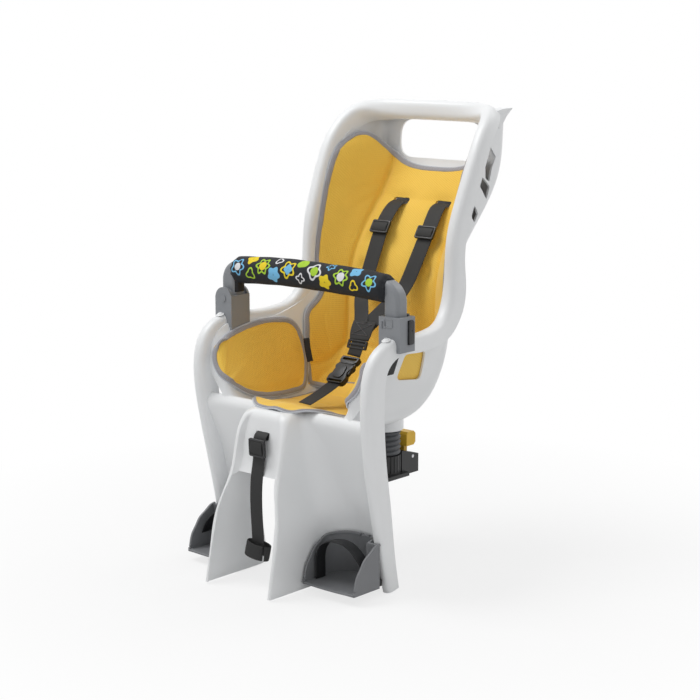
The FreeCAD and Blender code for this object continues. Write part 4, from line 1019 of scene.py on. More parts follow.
def ribbon(name, points, width, thick, material="webbing", side=(1, 0, 0), spacing=3.5):
    """Strap: a squared off oval carried along a smooth line, its width turned to a side direction.

    The width and the side may change from point to point.
    """
    points = np.asarray(points, float)
    widths = np.broadcast_to(np.asarray(width, float), len(points))[:, None]
    sides = np.broadcast_to(np.asarray(side, float), points.shape)
    count = max(8, int(distances(points)[-1] / spacing))
    line = along(np.concatenate([points, widths, sides], axis=1), count)
    path, half, sides = line[:, :3], line[:, 3] / 2, line[:, 4:]
    tangent = unit(np.gradient(path, axis=0))
    across = unit(sides - tangent * np.sum(sides * tangent, axis=1)[:, None])
    turn = np.linspace(0, FULL_TURN, 20, endpoint=False)
    reach = half[:, None] * squared(np.cos(turn), 0.45)
    high = squared(np.sin(turn), 0.55) * thick / 2
    loops = carried(path, across, np.cross(across, tangent), reach, high)
    uv = np.stack([reach, distances(path)[:, None] + 0 * reach], -1)
    return outward(new_object(name, loops, tube_faces(count, len(turn)), uv, bpy.data.materials[material]))


def moulded_block(name, blocks, holes, bevel, material="black"):
    """Plastic piece from outlines in x and z, each between two depths, with holes cut and edges rounded."""
    plastic = bpy.data.materials[material]
    parts = [outward(new_object("block", *prism(outline, 1, low, high), material=plastic))
             for outline, low, high in blocks]
    item = join(parts, name)
    if holes:
        cut_away(item, [prism(outline, 1, low, high) for outline, low, high in holes], "holes")
    round_edges(item, bevel, 38)
    item.data.set_sharp_from_angle(angle=np.radians(50))
    return item


def slider(name, wide, tall, web, turn, place):
    """Ladder slider: a frame with a window, and the webbing that bulges round its middle bar in an arc."""
    high = tall / 2 - 3.2
    body = moulded_block(name, [(rectangle(wide, -tall / 2, tall / 2, 4.0), -3.4, 1.6)],
                         [(rectangle(wide - 7, -high + 0.2, high - 0.2), -6, 4)], 0.9)
    angle = np.linspace(-QUARTER_TURN, QUARTER_TURN, 9)
    bulge = np.stack([0 * angle, -0.5 - 3.6 * np.cos(angle), high * np.sin(angle)], -1)
    web_piece = ribbon(name + "_web", bulge, web, 1.6, spacing=1.2)
    return tilted(body, turn, place), tilted(web_piece, turn, place)


def stop_bar(name, place, turn, wide):
    """Rounded bar behind a strap slot that keeps the strap from slipping through."""
    bar = moulded_block(name, [(rectangle(wide, -10, 7.5, 4.0), -1.7, 1.7)], [], 0.9)
    finish_piece(tilted(bar, turn, place), "seat")


# Shoulder straps from their slots down: x, height, distance in front of the tub's back; then the places
# where they run on to the join, and the way that their width leans there
STRAPS = {
    "right": ([(-48, 491.5, 3), (-48, 491, 15), (-48, 486.5, 24), (-47.5, 476, 29.5), (-47, 455, 30.5),
               (-46, 430, 27.5), (-45, 380, 29.5), (-42, 345, 41), (-29.2, 321.6, 60)],
              [(-15, 28.5, 302), (-4, 12, 285)], (0.94, 0.06, 0.34)),
    "left": ([(49, 491.5, 3), (50, 491, 15), (52, 486.5, 24), (56, 474, 29.5), (60, 452, 30.5),
              (59, 430, 28), (53, 380, 30), (44, 345, 39), (33.5, 321.6, 58)],
             [(21, 30, 303), (11, 14, 286)], (0.94, -0.06, -0.34)),
}
# Stitch lines on the join plate, from end to end: x and share of the crossed box's half height
STITCHES = [((-18, -1), (18, 1)), ((-18, 1), (18, -1)), ((-18, 1), (18, 1)), ((-18, -1), (18, -1))]


class SEAT_OT_harness(bpy.types.Operator):
    """Shoulder straps with sliders, their join, the buckle and the straps below it"""

    bl_idname = "bike_seat.harness"
    bl_label = "Harness"

    def execute(self, context):
        thick = context.scene.seat_sizes.web_thick / MM
        for label, (route, join_points, lean) in STRAPS.items():
            self.shoulder_strap(label, before_back(route), join_points, lean, thick)
        self.join_plate(thick)
        self.buckle()
        crotch = [(5, -66, 195.5), (4, -84, 188), (2, -112, 178), (0, -138, 170)]
        finish_piece(ribbon("crotch_web", crotch, 30, thick), "seat", ["crotch_strap"])
        for side, label in ((-1, "right"), (1, "left")):
            route = np.array([(155.5, -96, 235), (160, -96, 247), (166.5, -96, 264)]) * (side, 1, 1)
            waist = ribbon(f"waist_web_{label}", route, 20, thick, side=(0, 1, 0), spacing=2)
            finish_piece(waist, "seat", [f"waist_strap_{label}"])
        tag = ribbon("bare_tag", [(-117, -6, 252), (-115, -5, 235), (-111, -2, 209)], 11, 1.0, "tag",
                     side=(0.75, 0.65, 0), spacing=2)
        finish_piece(tag, "seat")
        return {"FINISHED"}

    def shoulder_strap(self, label, route, join_points, lean, thick):
        """One shoulder strap, its slider a quarter of the way down a stretch, and the bar behind its slot."""
        points = np.vstack([route, join_points])
        sides = np.tile((1.0, 0.0, 0.0), (len(points), 1))
        sides[-3:] = lean
        strap = ribbon(f"shoulder_web_{label}", points, 33, thick, side=sides)
        finish_piece(strap, "seat", [f"shoulder_strap_{label}"])
        high, low = route[4], route[5]
        slope = np.degrees(np.arctan2(high[1] - low[1], high[2] - low[2]))
        spot = high + (low - high) * 0.25
        body, web = slider(f"slider_{label}", 41, 25, 33, -slope, spot - (0, 4.4, 0))
        finish_piece(body, "seat", [f"ladder_lock_{label}"])
        finish_piece(web, "seat")
        slot_x = -SLOT_X if label == "right" else SLOT_X
        stop_bar(f"strap_stop_{label}", (slot_x, 193.2, SLOT_LOW + 6.5), 34, 46)

    def join_plate(self, thick):
        """Stitched plate where the shoulder straps meet, its slotted end and the webbing to the buckle."""
        plate_line = np.array([(3, 17.5, 293), (4, 8.5, 281), (6, 0.5, 268), (6.5, -3, 262)])
        plate = ribbon("join_plate", plate_line, [52, 50, 46, 42], 3.2)
        lower = ribbon("join_web", [(6.5, -3, 262), (6, -9, 250), (5, -15.5, 236)], 31, thick)
        slots = [(rectangle(35, low, low + 3.4, 1.0), -4, 4) for low in (-5.2, 1.8)]
        end = moulded_block("join_end", [(rectangle(44, -8, 8, 2.5), -2, 2)], slots, 0.7)
        tilted(end, -24, (6.3, -6.8, 255))
        threads = []
        for index, (start, stop) in enumerate(STITCHES):
            x, rise = np.linspace(start, stop, 7).T
            z = 281 + 9 * rise
            y = np.interp(z, plate_line[2::-1, 2], plate_line[2::-1, 1]) - 2.4
            line = np.stack([x + 4.5, y, z], -1)
            threads.append(ribbon(f"join_thread_{index}", line, 0.9, 0.7, "thread", side=(0.2, 0.8, -0.6)))
        for item in (plate, lower, end, *threads):
            finish_piece(item, "seat")
        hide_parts("harness_yoke")

    def buckle(self):
        """Side release buckle: a waisted socket with open sides, and a forked tongue with a slotted plate."""
        def outline(half):
            """Rounded outline from its right half."""
            return rounded_outline(both_sides(half), 3.5)

        socket = outline([(15, -44), (19, -40), (20, -28), (15.5, -22), (15.5, -14), (20, -8), (19, -1),
                          (14, 0)])
        crown = outline([(8, -34), (11, -26), (9, -10), (5, -5)])
        body = moulded_block("buckle_body", [(socket, 0.5, 11.5), (crown, -1.6, 4)],
                             [(rectangle(31, -41.5, -37.5, 1.2), -4, 14)], 1.3)
        plate = outline([(20, 18), (20, 7), (16, 3), (13.5, 0.6)])
        fork = [(rectangle(4.2, -22, 4, 1.6, side * 16.8), 2.5, 9) for side in (-1, 1)]
        tongue = moulded_block("buckle_fork", [(plate, 1, 11), *fork],
                               [(rectangle(31, 9.5, 13.8, 1.2), -4, 14)], 1.0)
        for item, node in ((body, "buckle_socket"), (tongue, "buckle_tongue")):
            finish_piece(tilted(item, -52, (5, -36, 226)), "seat", [node])


class SEAT_OT_lower_straps(bpy.types.Operator):
    """Front strap with its slider and loop, and the rubber straps and rims of the footrests"""

    bl_idname = "bike_seat.lower_straps"
    bl_label = "Lower straps"

    def execute(self, context):
        thick = context.scene.seat_sizes.web_thick / MM
        route = [(2, -234, 137), (2, -245, 137), (2, -251, 131), (2, -252.5, 118), (2, -253, 100),
                 (2, -255, 85), (2, -258, 70), (1, -260, 40), (0, -258.5, 0), (-1, -255, -38), (-2, -253, -58)]
        strap = ribbon("front_web", route, 28, thick)
        angle = np.linspace(-0.6, FULL_TURN - 0.75, 32)
        loop = np.stack([-4 + 25 * np.cos(angle), -252 + 12 * np.sin(angle), -66 - 3 * np.cos(angle)], -1)
        end = ribbon("front_web_loop", loop, 27, thick * 1.3, side=(0.25, 0, 1))
        stop_bar("strap_stop_front", (0, -236.5, 132), 6, 36)
        finish_piece(strap, "seat", ["security_strap"])
        finish_piece(end, "seat")
        body, web = slider("front_slider", 36, 31, 27, 3, (2, -257, 114))
        finish_piece(body, "seat", ["security_buckle"])
        finish_piece(web, "seat")
        route = np.array([(92, -199.5, -106.5), (91.8, -199.5, -85), (94.5, -201, -62), (105, -200, -44),
                          (128, -198, -36), (152, -196, -39), (170, -194, -52), (184, -192, -70),
                          (191, -191, -83)])
        for side, label in ((1, "left"), (-1, "right")):
            self.step_rims(side, label)
            band = ribbon(f"foot_band_{label}", route * (side, 1, 1), 24, 2.2, "rubber", side=(0, 1, 0))
            finish_piece(band, f"footrest_{label}", [f"foot_strap_{label}"])
        return {"FINISHED"}

    def step_rims(self, side, label):
        """Rounded rims on a footrest: on its inner wall and round the heel in an arc, outer wall and nose."""
        y = np.array([-229, -222, -213, -204, -195, -186, -177, -167, -158, -151, -147.5])
        z = np.interp(y, [-229, -222, -204, -176, -150], [-104, -80, -56, -38, -34.5])
        heel = 131 - np.sqrt(48.5 ** 2 - np.clip(y + 195, 0, 48.4) ** 2)
        inner = np.vstack([np.stack([heel, y, z], -1), [(142, -146.3, -34.5), (172, -146.3, -34.5)]])
        outer = np.stack([0 * y[:8] + 194.3, y[:8], z[:8]], -1)
        x = np.linspace(82.5, 194.5, 9)
        nose = np.stack([x, -228.5 - 3 * np.sin(np.pi * (x - 82.5) / 112), 0 * x - 109.6], -1)
        for name, points, wide, across in (("inner", inner, 4.4, (1, 0, 0)), ("outer", outer, 4.4, (1, 0, 0)),
                                           ("nose", nose, 11, (0, 1, 0))):
            rim = ribbon(f"step_rim_{name}_{label}", points * (side, 1, 1), wide, 4.4, "footrest", side=across)
            finish_piece(rim, f"footrest_{label}")


# Handrail

def rail_height(x):
    """Height of the handrail's middle line: a low arch."""
    return 385 + 5.87 * (1 - (x / RAIL_HALF) ** 2)


class SEAT_OT_handrail(bpy.types.Operator):
    """Printed fabric sleeve with gathered ends, a black piece of painted shade inside the right elbow, and the
    latch lever
    """

    bl_idname = "bike_seat.handrail"
    bl_label = "Handrail"

    def execute(self, context):
        self.sleeve()
        # Black piece along the inside of the right elbow: painted shade where the elbow's inner face lies in
        # shadow
        elbow_shade = ribbon("elbow_shade_piece", [(-180, RAIL_Y, 345), (-180, RAIL_Y, 358), (-177, RAIL_Y, 368),
                                    (-170, RAIL_Y, 375), (-160, RAIL_Y, 380)], 22, 26, "rubber",
                      side=(0, 1, 0), spacing=2)
        finish_piece(elbow_shade, "handrail")
        self.latch()
        self.bracket_marks()
        return {"FINISHED"}

    def sleeve(self):
        """Circle carried along the rail's arch, narrower at its ends, with gathers there and slow folds."""
        share = np.linspace(-1, 1, 121)
        x = SLEEVE_HALF * np.sin(share * QUARTER_TURN * 0.9) / np.sin(QUARTER_TURN * 0.9)
        turn = np.linspace(0, FULL_TURN, 73)
        end = (SLEEVE_HALF - np.abs(x))[:, None]
        gathers = 1.1 * np.exp(-end / 7.0) * np.sin(11 * turn + 0.6)
        folds = 0.35 * np.sin(3 * turn + x[:, None] / 31) + 0.25 * np.sin(x[:, None] / 9.0) * np.cos(turn * 2)
        radius = 24.0 - 5.5 * np.exp(-(end / 5.0) ** 2) + gathers + folds
        middle = np.stack([x, 0 * x + RAIL_Y, rail_height(x)], -1)[:, None]
        outer = middle + np.stack([0 * radius, -radius * np.sin(turn), -radius * np.cos(turn)], -1)
        mouth = middle + (outer - middle) * 0.7
        loops = np.concatenate([mouth[:1], outer, mouth[-1:]])
        lengths = np.concatenate([[0], x + SLEEVE_HALF + 2, [2 * SLEEVE_HALF + 4]])[:, None]
        uv = np.stack([lengths + 0 * turn, 24.0 * turn + 0 * lengths], -1)
        sleeve = new_object("rail_sleeve", loops, grid_faces(len(loops), len(turn)), uv,
                            bpy.data.materials["sleeve"])
        wall = sleeve.modifiers.new("Wall", "SOLIDIFY")
        wall.thickness = 1.2 * MM
        wall.offset = -1
        apply_all(outward(sleeve))
        finish_piece(sleeve, "handrail", ["handrail_sleeve"])

    def latch(self):
        """Latch lever: a rounded tongue with a small dimple."""
        outline = rectangle(14, 296, 336, 4.5, -112)
        lever = new_object("latch_lever", *prism(outline, 0, 210, 216.3), material=bpy.data.materials["black"])
        dimple = rectangle(2.2, 318, 320.2, 1, -112.1)
        cut_away(outward(lever), [prism(dimple, 0, 214.5, 220)], "dimple")
        round_edges(lever, 1.2, 30)
        finish_piece(lever, "latch", ["latch_button"], sharp=45)

    def bracket_marks(self):
        """Black block of painted shade over the slot on top of the latch bracket, and the raised frame on its
        front.
        """
        # Black block on top of the latch bracket: painted shade of the small slot there
        slot_shade = new_object("latch_slot_shade", *prism(rectangle(19, -108.5, -101.5, 1.6, 193.5), 2, 341, 345),
                           material=bpy.data.materials["black"])
        finish_piece(outward(slot_shade), "seat")
        mark = moulded_block("bracket_frame", [(rectangle(18, -7.5, 7.5, 2.5), -0.8, 0.8)],
                             [(rectangle(15, -6, 6, 1.6), -2, 2)], 0.35, "bracket")
        finish_piece(tilted(mark, 0, (188.5, -139.6, 332)), "seat")


class SEAT_OT_suspension(bpy.types.Operator):
    """Rubber bellows with round folds, and the spring inside"""

    bl_idname = "bike_seat.suspension"
    bl_label = "Suspension"

    def execute(self, context):
        boot, spring = self.boot(), self.spring()
        for item, foot, keep in ((boot, 0.041, 0.78), (spring, 0.015, 0.92)):
            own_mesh(item)
        return {"FINISHED"}

    def boot(self):
        """Line whose radius swells in five round folds, and the same line inside it, turned on the axis."""
        share = np.linspace(0, 1, 91)
        fold = np.abs(np.sin(np.pi * 5 * share)) ** 0.75
        outside = np.stack([25.3 + 4.2 * fold, 41.3 + 46.5 * share], -1)
        inside = outside[::-1] - (1.7, 0)
        mesh = turned(np.vstack([outside, inside]), (SPRING_X, SPRING_Y), steps=96)
        boot = outward(new_object("rubber_bellows", *mesh, material=bpy.data.materials["boot"]))
        return finish_piece(boot, "rack_base", ["bellows"])

    def spring(self, turns=6, radius=17, wire=2.2, foot=15.1, height=130.3):
        """Circle carried up a helix about the suspension's axis."""
        angle = np.linspace(0, turns * FULL_TURN, turns * 40 + 1)
        outwards = np.stack([np.cos(angle), np.sin(angle), 0 * angle], -1)
        upwards = np.tile((0, 0, 1.0), (len(angle), 1))
        path = radius * outwards + (height * angle / angle[-1])[:, None] * upwards
        path += (SPRING_X, SPRING_Y, foot)
        turn = np.linspace(0, FULL_TURN, 10, endpoint=False)
        loops = carried(path, outwards, upwards, wire * np.cos(turn), wire * np.sin(turn))
        spring = new_object("coil_spring", loops, tube_faces(len(path), len(turn)),
                            material=bpy.data.materials["steel"])
        return finish_piece(outward(spring), "rack_base", ["suspension_spring"])


# Materials

SURFACE = [("Colour", "NodeSocketColor"), ("Roughness", "NodeSocketFloat"), ("Height", "NodeSocketFloat")]


def node_group(name, inputs, outputs):
    """Empty shader group with named sockets."""
    group = bpy.data.node_groups.new(name, "ShaderNodeTree")
    for label, kind, default in inputs:
        socket = group.interface.new_socket(name=label, in_out="INPUT", socket_type=kind)
        socket.default_value = default
    for label, kind in outputs:
        group.interface.new_socket(name=label, in_out="OUTPUT", socket_type=kind)
    return group, group.nodes.new("NodeGroupInput"), group.nodes.new("NodeGroupOutput")


def maths(tree, operation, first, second=None):
    """Output of a maths node on two sockets or numbers."""
    node = tree.nodes.new("ShaderNodeMath")
    node.operation = operation
    for socket, value in zip(node.inputs, (first, second)):
        if isinstance(value, (int, float)):
            socket.default_value = value
        elif value is not None:
            tree.links.new(value, socket)
    return node.outputs[0]


def clamped(tree, value, high):
    """Value kept between 0 and a high end."""
    return maths(tree, "MINIMUM", maths(tree, "MAXIMUM", value, 0.0), high)


def vector_length(tree, vector):
    """Length of a vector socket."""
    node = tree.nodes.new("ShaderNodeVectorMath")
    node.operation = "LENGTH"
    tree.links.new(vector, node.inputs[0])
    return node.outputs["Value"]


def separated(tree, vector):
    """X and Y of a vector socket."""
    parts = tree.nodes.new("ShaderNodeSeparateXYZ")
    tree.links.new(vector, parts.inputs["Vector"])
    return parts.outputs["X"], parts.outputs["Y"]


def mixed(tree, share, first, second):
    """Colour between two others by a share; the second may be a plain colour."""
    mix = tree.nodes.new("ShaderNodeMix")
    mix.data_type = "RGBA"
    for label, value in (("Factor", share), ("A", first), ("B", second)):
        if isinstance(value, tuple):
            mix.inputs[label].default_value = value
        else:
            tree.links.new(value, mix.inputs[label])
    return mix.outputs["Result"]


def moulded_group():
    """Faint mould texture: fine noise for height, slow noise for colour and gloss."""
    group, source, sink = node_group(
        "Moulded surface",
        [("Colour", "NodeSocketColor", (0.5, 0.5, 0.5, 1)), ("Grain size", "NodeSocketFloat", 900.0),
         ("Unevenness", "NodeSocketFloat", 0.05), ("Roughness", "NodeSocketFloat", 0.4)],
        SURFACE)
    place = group.nodes.new("ShaderNodeTexCoord")
    fine = group.nodes.new("ShaderNodeTexNoise")
    slow = group.nodes.new("ShaderNodeTexNoise")
    slow.inputs["Scale"].default_value = 9
    slow.inputs["Detail"].default_value = 3
    fine.inputs["Detail"].default_value = 2
    link = group.links.new
    link(place.outputs["Object"], fine.inputs["Vector"])
    link(place.outputs["Object"], slow.inputs["Vector"])
    link(source.outputs["Grain size"], fine.inputs["Scale"])
    shade = maths(group, "SUBTRACT", slow.outputs["Fac"], 0.5)
    tone = maths(group, "MULTIPLY", shade, source.outputs["Unevenness"])
    bright = group.nodes.new("ShaderNodeHueSaturation")
    link(maths(group, "ADD", maths(group, "MULTIPLY", tone, 2.0), 1.0), bright.inputs["Value"])
    link(source.outputs["Colour"], bright.inputs["Color"])
    link(bright.outputs["Color"], sink.inputs["Colour"])
    link(maths(group, "ADD", source.outputs["Roughness"], tone), sink.inputs["Roughness"])
    link(fine.outputs["Fac"], sink.inputs["Height"])
    return group


def weave_group():
    """Ribbed webbing from the piece's UVs: rows of small bumps across and along."""
    group, source, sink = node_group(
        "Webbing weave",
        [("Colour", "NodeSocketColor", (0.02, 0.02, 0.02, 1)), ("Rows", "NodeSocketFloat", 2600.0),
         ("Columns", "NodeSocketFloat", 1500.0)],
        SURFACE)
    x, y = separated(group, group.nodes.new("ShaderNodeUVMap").outputs["UV"])
    link = group.links.new
    across = maths(group, "SINE", maths(group, "MULTIPLY", x, source.outputs["Columns"]))
    lengthwise = maths(group, "SINE", maths(group, "MULTIPLY", y, source.outputs["Rows"]))
    height = maths(group, "MULTIPLY", across, lengthwise)
    light = maths(group, "ADD", maths(group, "MULTIPLY", height, 0.35), 1.0)
    tone = group.nodes.new("ShaderNodeHueSaturation")
    link(light, tone.inputs["Value"])
    link(source.outputs["Colour"], tone.inputs["Color"])
    link(tone.outputs["Color"], sink.inputs["Colour"])
    link(maths(group, "ADD", maths(group, "MULTIPLY", height, 0.1), 0.72), sink.inputs["Roughness"])
    link(height, sink.inputs["Height"])
    return group


def honeycomb_group():
    """Knitted spacer mesh: round cells in staggered rows, dark in their middles."""
    group, source, sink = node_group(
        "Honeycomb mesh",
        [("Colour", "NodeSocketColor", (0.8, 0.5, 0.02, 1)), ("Shade", "NodeSocketColor", (0.4, 0.2, 0.0, 1)),
         ("Cell", "NodeSocketFloat", 3.2)],
        SURFACE)
    x, y = separated(group, group.nodes.new("ShaderNodeUVMap").outputs["UV"])
    link = group.links.new
    turns = maths(group, "DIVIDE", 2000 * np.pi, source.outputs["Cell"])
    u = maths(group, "MULTIPLY", x, turns)
    v = maths(group, "MULTIPLY", y, turns)
    # Three cosine waves at 120 degrees to each other make a triangular lattice of round dips
    waves = maths(group, "COSINE", u)
    for slant in (0.8660, -0.8660):
        leaning = maths(group, "MULTIPLY", v, slant)
        turned_place = maths(group, "ADD", maths(group, "MULTIPLY", u, -0.5), leaning)
        waves = maths(group, "ADD", waves, maths(group, "COSINE", turned_place))
    hollow = maths(group, "DIVIDE", maths(group, "ADD", waves, 1.5), 4.5)
    dark = maths(group, "POWER", hollow, 1.6)
    colour = mixed(group, dark, source.outputs["Colour"], source.outputs["Shade"])
    link(colour, sink.inputs["Colour"])
    link(maths(group, "SUBTRACT", 0.95, maths(group, "MULTIPLY", hollow, 0.2)), sink.inputs["Roughness"])
    link(maths(group, "SUBTRACT", 1.0, hollow), sink.inputs["Height"])
    return group


def finish_material(name, group, values, bump=0.1, distance=0.0005, **shader_values):
    """Material whose colour, roughness and bump come from a surface group."""
    material = bpy.data.materials.new(name)
    material.use_nodes = True
    tree = material.node_tree
    shader = tree.nodes["Principled BSDF"]
    surface = tree.nodes.new("ShaderNodeGroup")
    surface.node_tree = group
    for label, value in values.items():
        surface.inputs[label].default_value = value
    for label, value in shader_values.items():
        shader.inputs[label.replace("_", " ")].default_value = value
    relief = tree.nodes.new("ShaderNodeBump")
    relief.inputs["Strength"].default_value = bump
    relief.inputs["Distance"].default_value = distance
    tree.links.new(surface.outputs["Colour"], shader.inputs["Base Color"])
    tree.links.new(surface.outputs["Roughness"], shader.inputs["Roughness"])
    tree.links.new(surface.outputs["Height"], relief.inputs["Height"])
    tree.links.new(relief.outputs["Normal"], shader.inputs["Normal"])
    return material


def rgba(colour):
    """Colour with full alpha."""
    return (*colour, 1.0)


def motif_group():
    """Mask of a flower or star on a flat pattern in millimetres: a line at a radius that waves with angle."""
    group, source, sink = node_group(
        "Printed motif",
        [("Place", "NodeSocketVector", (0, 0, 0)), ("Centre", "NodeSocketVector", (0, 0, 0)),
         ("Radius", "NodeSocketFloat", 10.0), ("Line", "NodeSocketFloat", 1.5),
         ("Petals", "NodeSocketFloat", 5.0), ("Depth", "NodeSocketFloat", 0.2),
         ("Turn", "NodeSocketFloat", 0.0)],
        [("Mask", "NodeSocketFloat")])
    offset = group.nodes.new("ShaderNodeVectorMath")
    offset.operation = "SUBTRACT"
    group.links.new(source.outputs["Place"], offset.inputs[0])
    group.links.new(source.outputs["Centre"], offset.inputs[1])
    x, y = separated(group, offset.outputs["Vector"])
    petal = maths(group, "MULTIPLY", maths(group, "ARCTAN2", y, x), source.outputs["Petals"])
    wave = maths(group, "COSINE", maths(group, "ADD", petal, source.outputs["Turn"]))
    share = maths(group, "ADD", maths(group, "MULTIPLY", wave, source.outputs["Depth"]), 1.0)
    reach = maths(group, "MULTIPLY", source.outputs["Radius"], share)
    length = vector_length(group, offset.outputs["Vector"])
    away = maths(group, "ABSOLUTE", maths(group, "SUBTRACT", length, reach))
    soft = maths(group, "MULTIPLY", maths(group, "SUBTRACT", source.outputs["Line"], away), 1.6)
    group.links.new(clamped(group, maths(group, "ADD", soft, 0.5), 1.0), sink.inputs["Mask"])
    return group


# Print of the handrail sleeve: place along and round it, radius, line, petals, depth, turn, colour
BLUE, LIME, YELLOW, WHITE = (0.20, 0.52, 0.80), (0.42, 0.66, 0.05), (0.86, 0.66, 0.03), (0.78, 0.78, 0.80)
MOTIFS = [
    (24, 46, 12.5, 1.7, 5, 0.22, 0.4, BLUE), (24, 46, 3.4, 3.4, 0, 0, 0, WHITE),
    (52, 64, 5.6, 5.6, 4, 0.35, 0.9, YELLOW), (56, 34, 8.5, 1.5, 3, 0.24, 2.0, LIME),
    (84, 50, 12.5, 2.0, 6, 0.20, 0.0, LIME), (84, 50, 4.0, 4.0, 0, 0, 0, YELLOW),
    (112, 36, 6.5, 6.5, 5, 0.30, 0.7, BLUE), (116, 64, 6.5, 1.4, 3, 0.2, 0.3, WHITE),
    (144, 48, 13.0, 2.0, 5, 0.22, 2.4, YELLOW), (144, 48, 4.4, 4.4, 4, 0.25, 0, BLUE),
    (172, 64, 5.6, 5.6, 3, 0.25, 1.0, LIME), (174, 34, 7.0, 1.5, 4, 0.28, 0.6, WHITE),
    (204, 50, 12.5, 2.0, 4, 0.20, 0.8, WHITE), (204, 50, 4.2, 4.2, 0, 0, 0, LIME),
    (230, 34, 6.2, 6.2, 5, 0.30, 0.1, YELLOW), (234, 65, 7.0, 1.5, 5, 0.25, 1.6, BLUE),
    (264, 48, 12.5, 1.9, 6, 0.20, 0.5, LIME), (264, 48, 4.0, 4.0, 0, 0, 0, WHITE),
    (290, 64, 5.6, 5.6, 4, 0.32, 2.2, BLUE), (294, 36, 7.5, 1.5, 3, 0.24, 0.9, YELLOW),
    (326, 48, 12.0, 1.7, 5, 0.24, 1.1, BLUE), (326, 48, 3.6, 3.6, 0, 0, 0, LIME),
    (60, 96, 9.0, 1.6, 5, 0.22, 0.4, YELLOW), (130, 100, 9.0, 1.6, 4, 0.22, 0.4, BLUE),
    (200, 98, 9.0, 1.6, 6, 0.22, 0.4, LIME), (270, 100, 9.0, 1.6, 5, 0.22, 0.4, WHITE),
]


def printed_sleeve(material):
    """Lays the motifs over the sleeve's cloth colour, one after another."""
    tree = material.node_tree
    place = tree.nodes.new("ShaderNodeVectorMath")
    place.operation = "SCALE"
    place.inputs["Scale"].default_value = 1000
    tree.links.new(tree.nodes.new("ShaderNodeUVMap").outputs["UV"], place.inputs[0])
    base = tree.nodes["Principled BSDF"].inputs["Base Color"]
    motif = motif_group()
    colour = base.links[0].from_socket
    for x, y, *shape_values, ink in MOTIFS:
        shape = tree.nodes.new("ShaderNodeGroup")
        shape.node_tree = motif
        tree.links.new(place.outputs["Vector"], shape.inputs["Place"])
        shape.inputs["Centre"].default_value = (x, y, 0)
        for label, value in zip(("Radius", "Line", "Petals", "Depth", "Turn"), shape_values):
            shape.inputs[label].default_value = value
        colour = mixed(tree, shape.outputs["Mask"], colour, rgba(ink))
    tree.links.new(colour, base)
    return material


# Finish of each CAD piece, whether it shows or stands behind a dressed piece; the rest are webbing
CAD_FINISHES = {
    "black": ["mounting_base", "pivot_bracket", "spring_cup", "latch_button"],
    "steel": ["pivot_pin", "lever_pin", "suspension_spring"],
    "boot": ["bellows"],
    "lever": ["release_lever"],
    "bracket": ["hinge_rivet", "handrail_tube", "hinge_bracket", "latch_bracket"],
    "footrest": ["footrest_left", "footrest_right"],
    "shell": ["seat_shell"],
    "sleeve": ["handrail_sleeve"],
    "padding": ["back_pad", "seat_pad", "side_pad_left", "side_pad_right"],
}


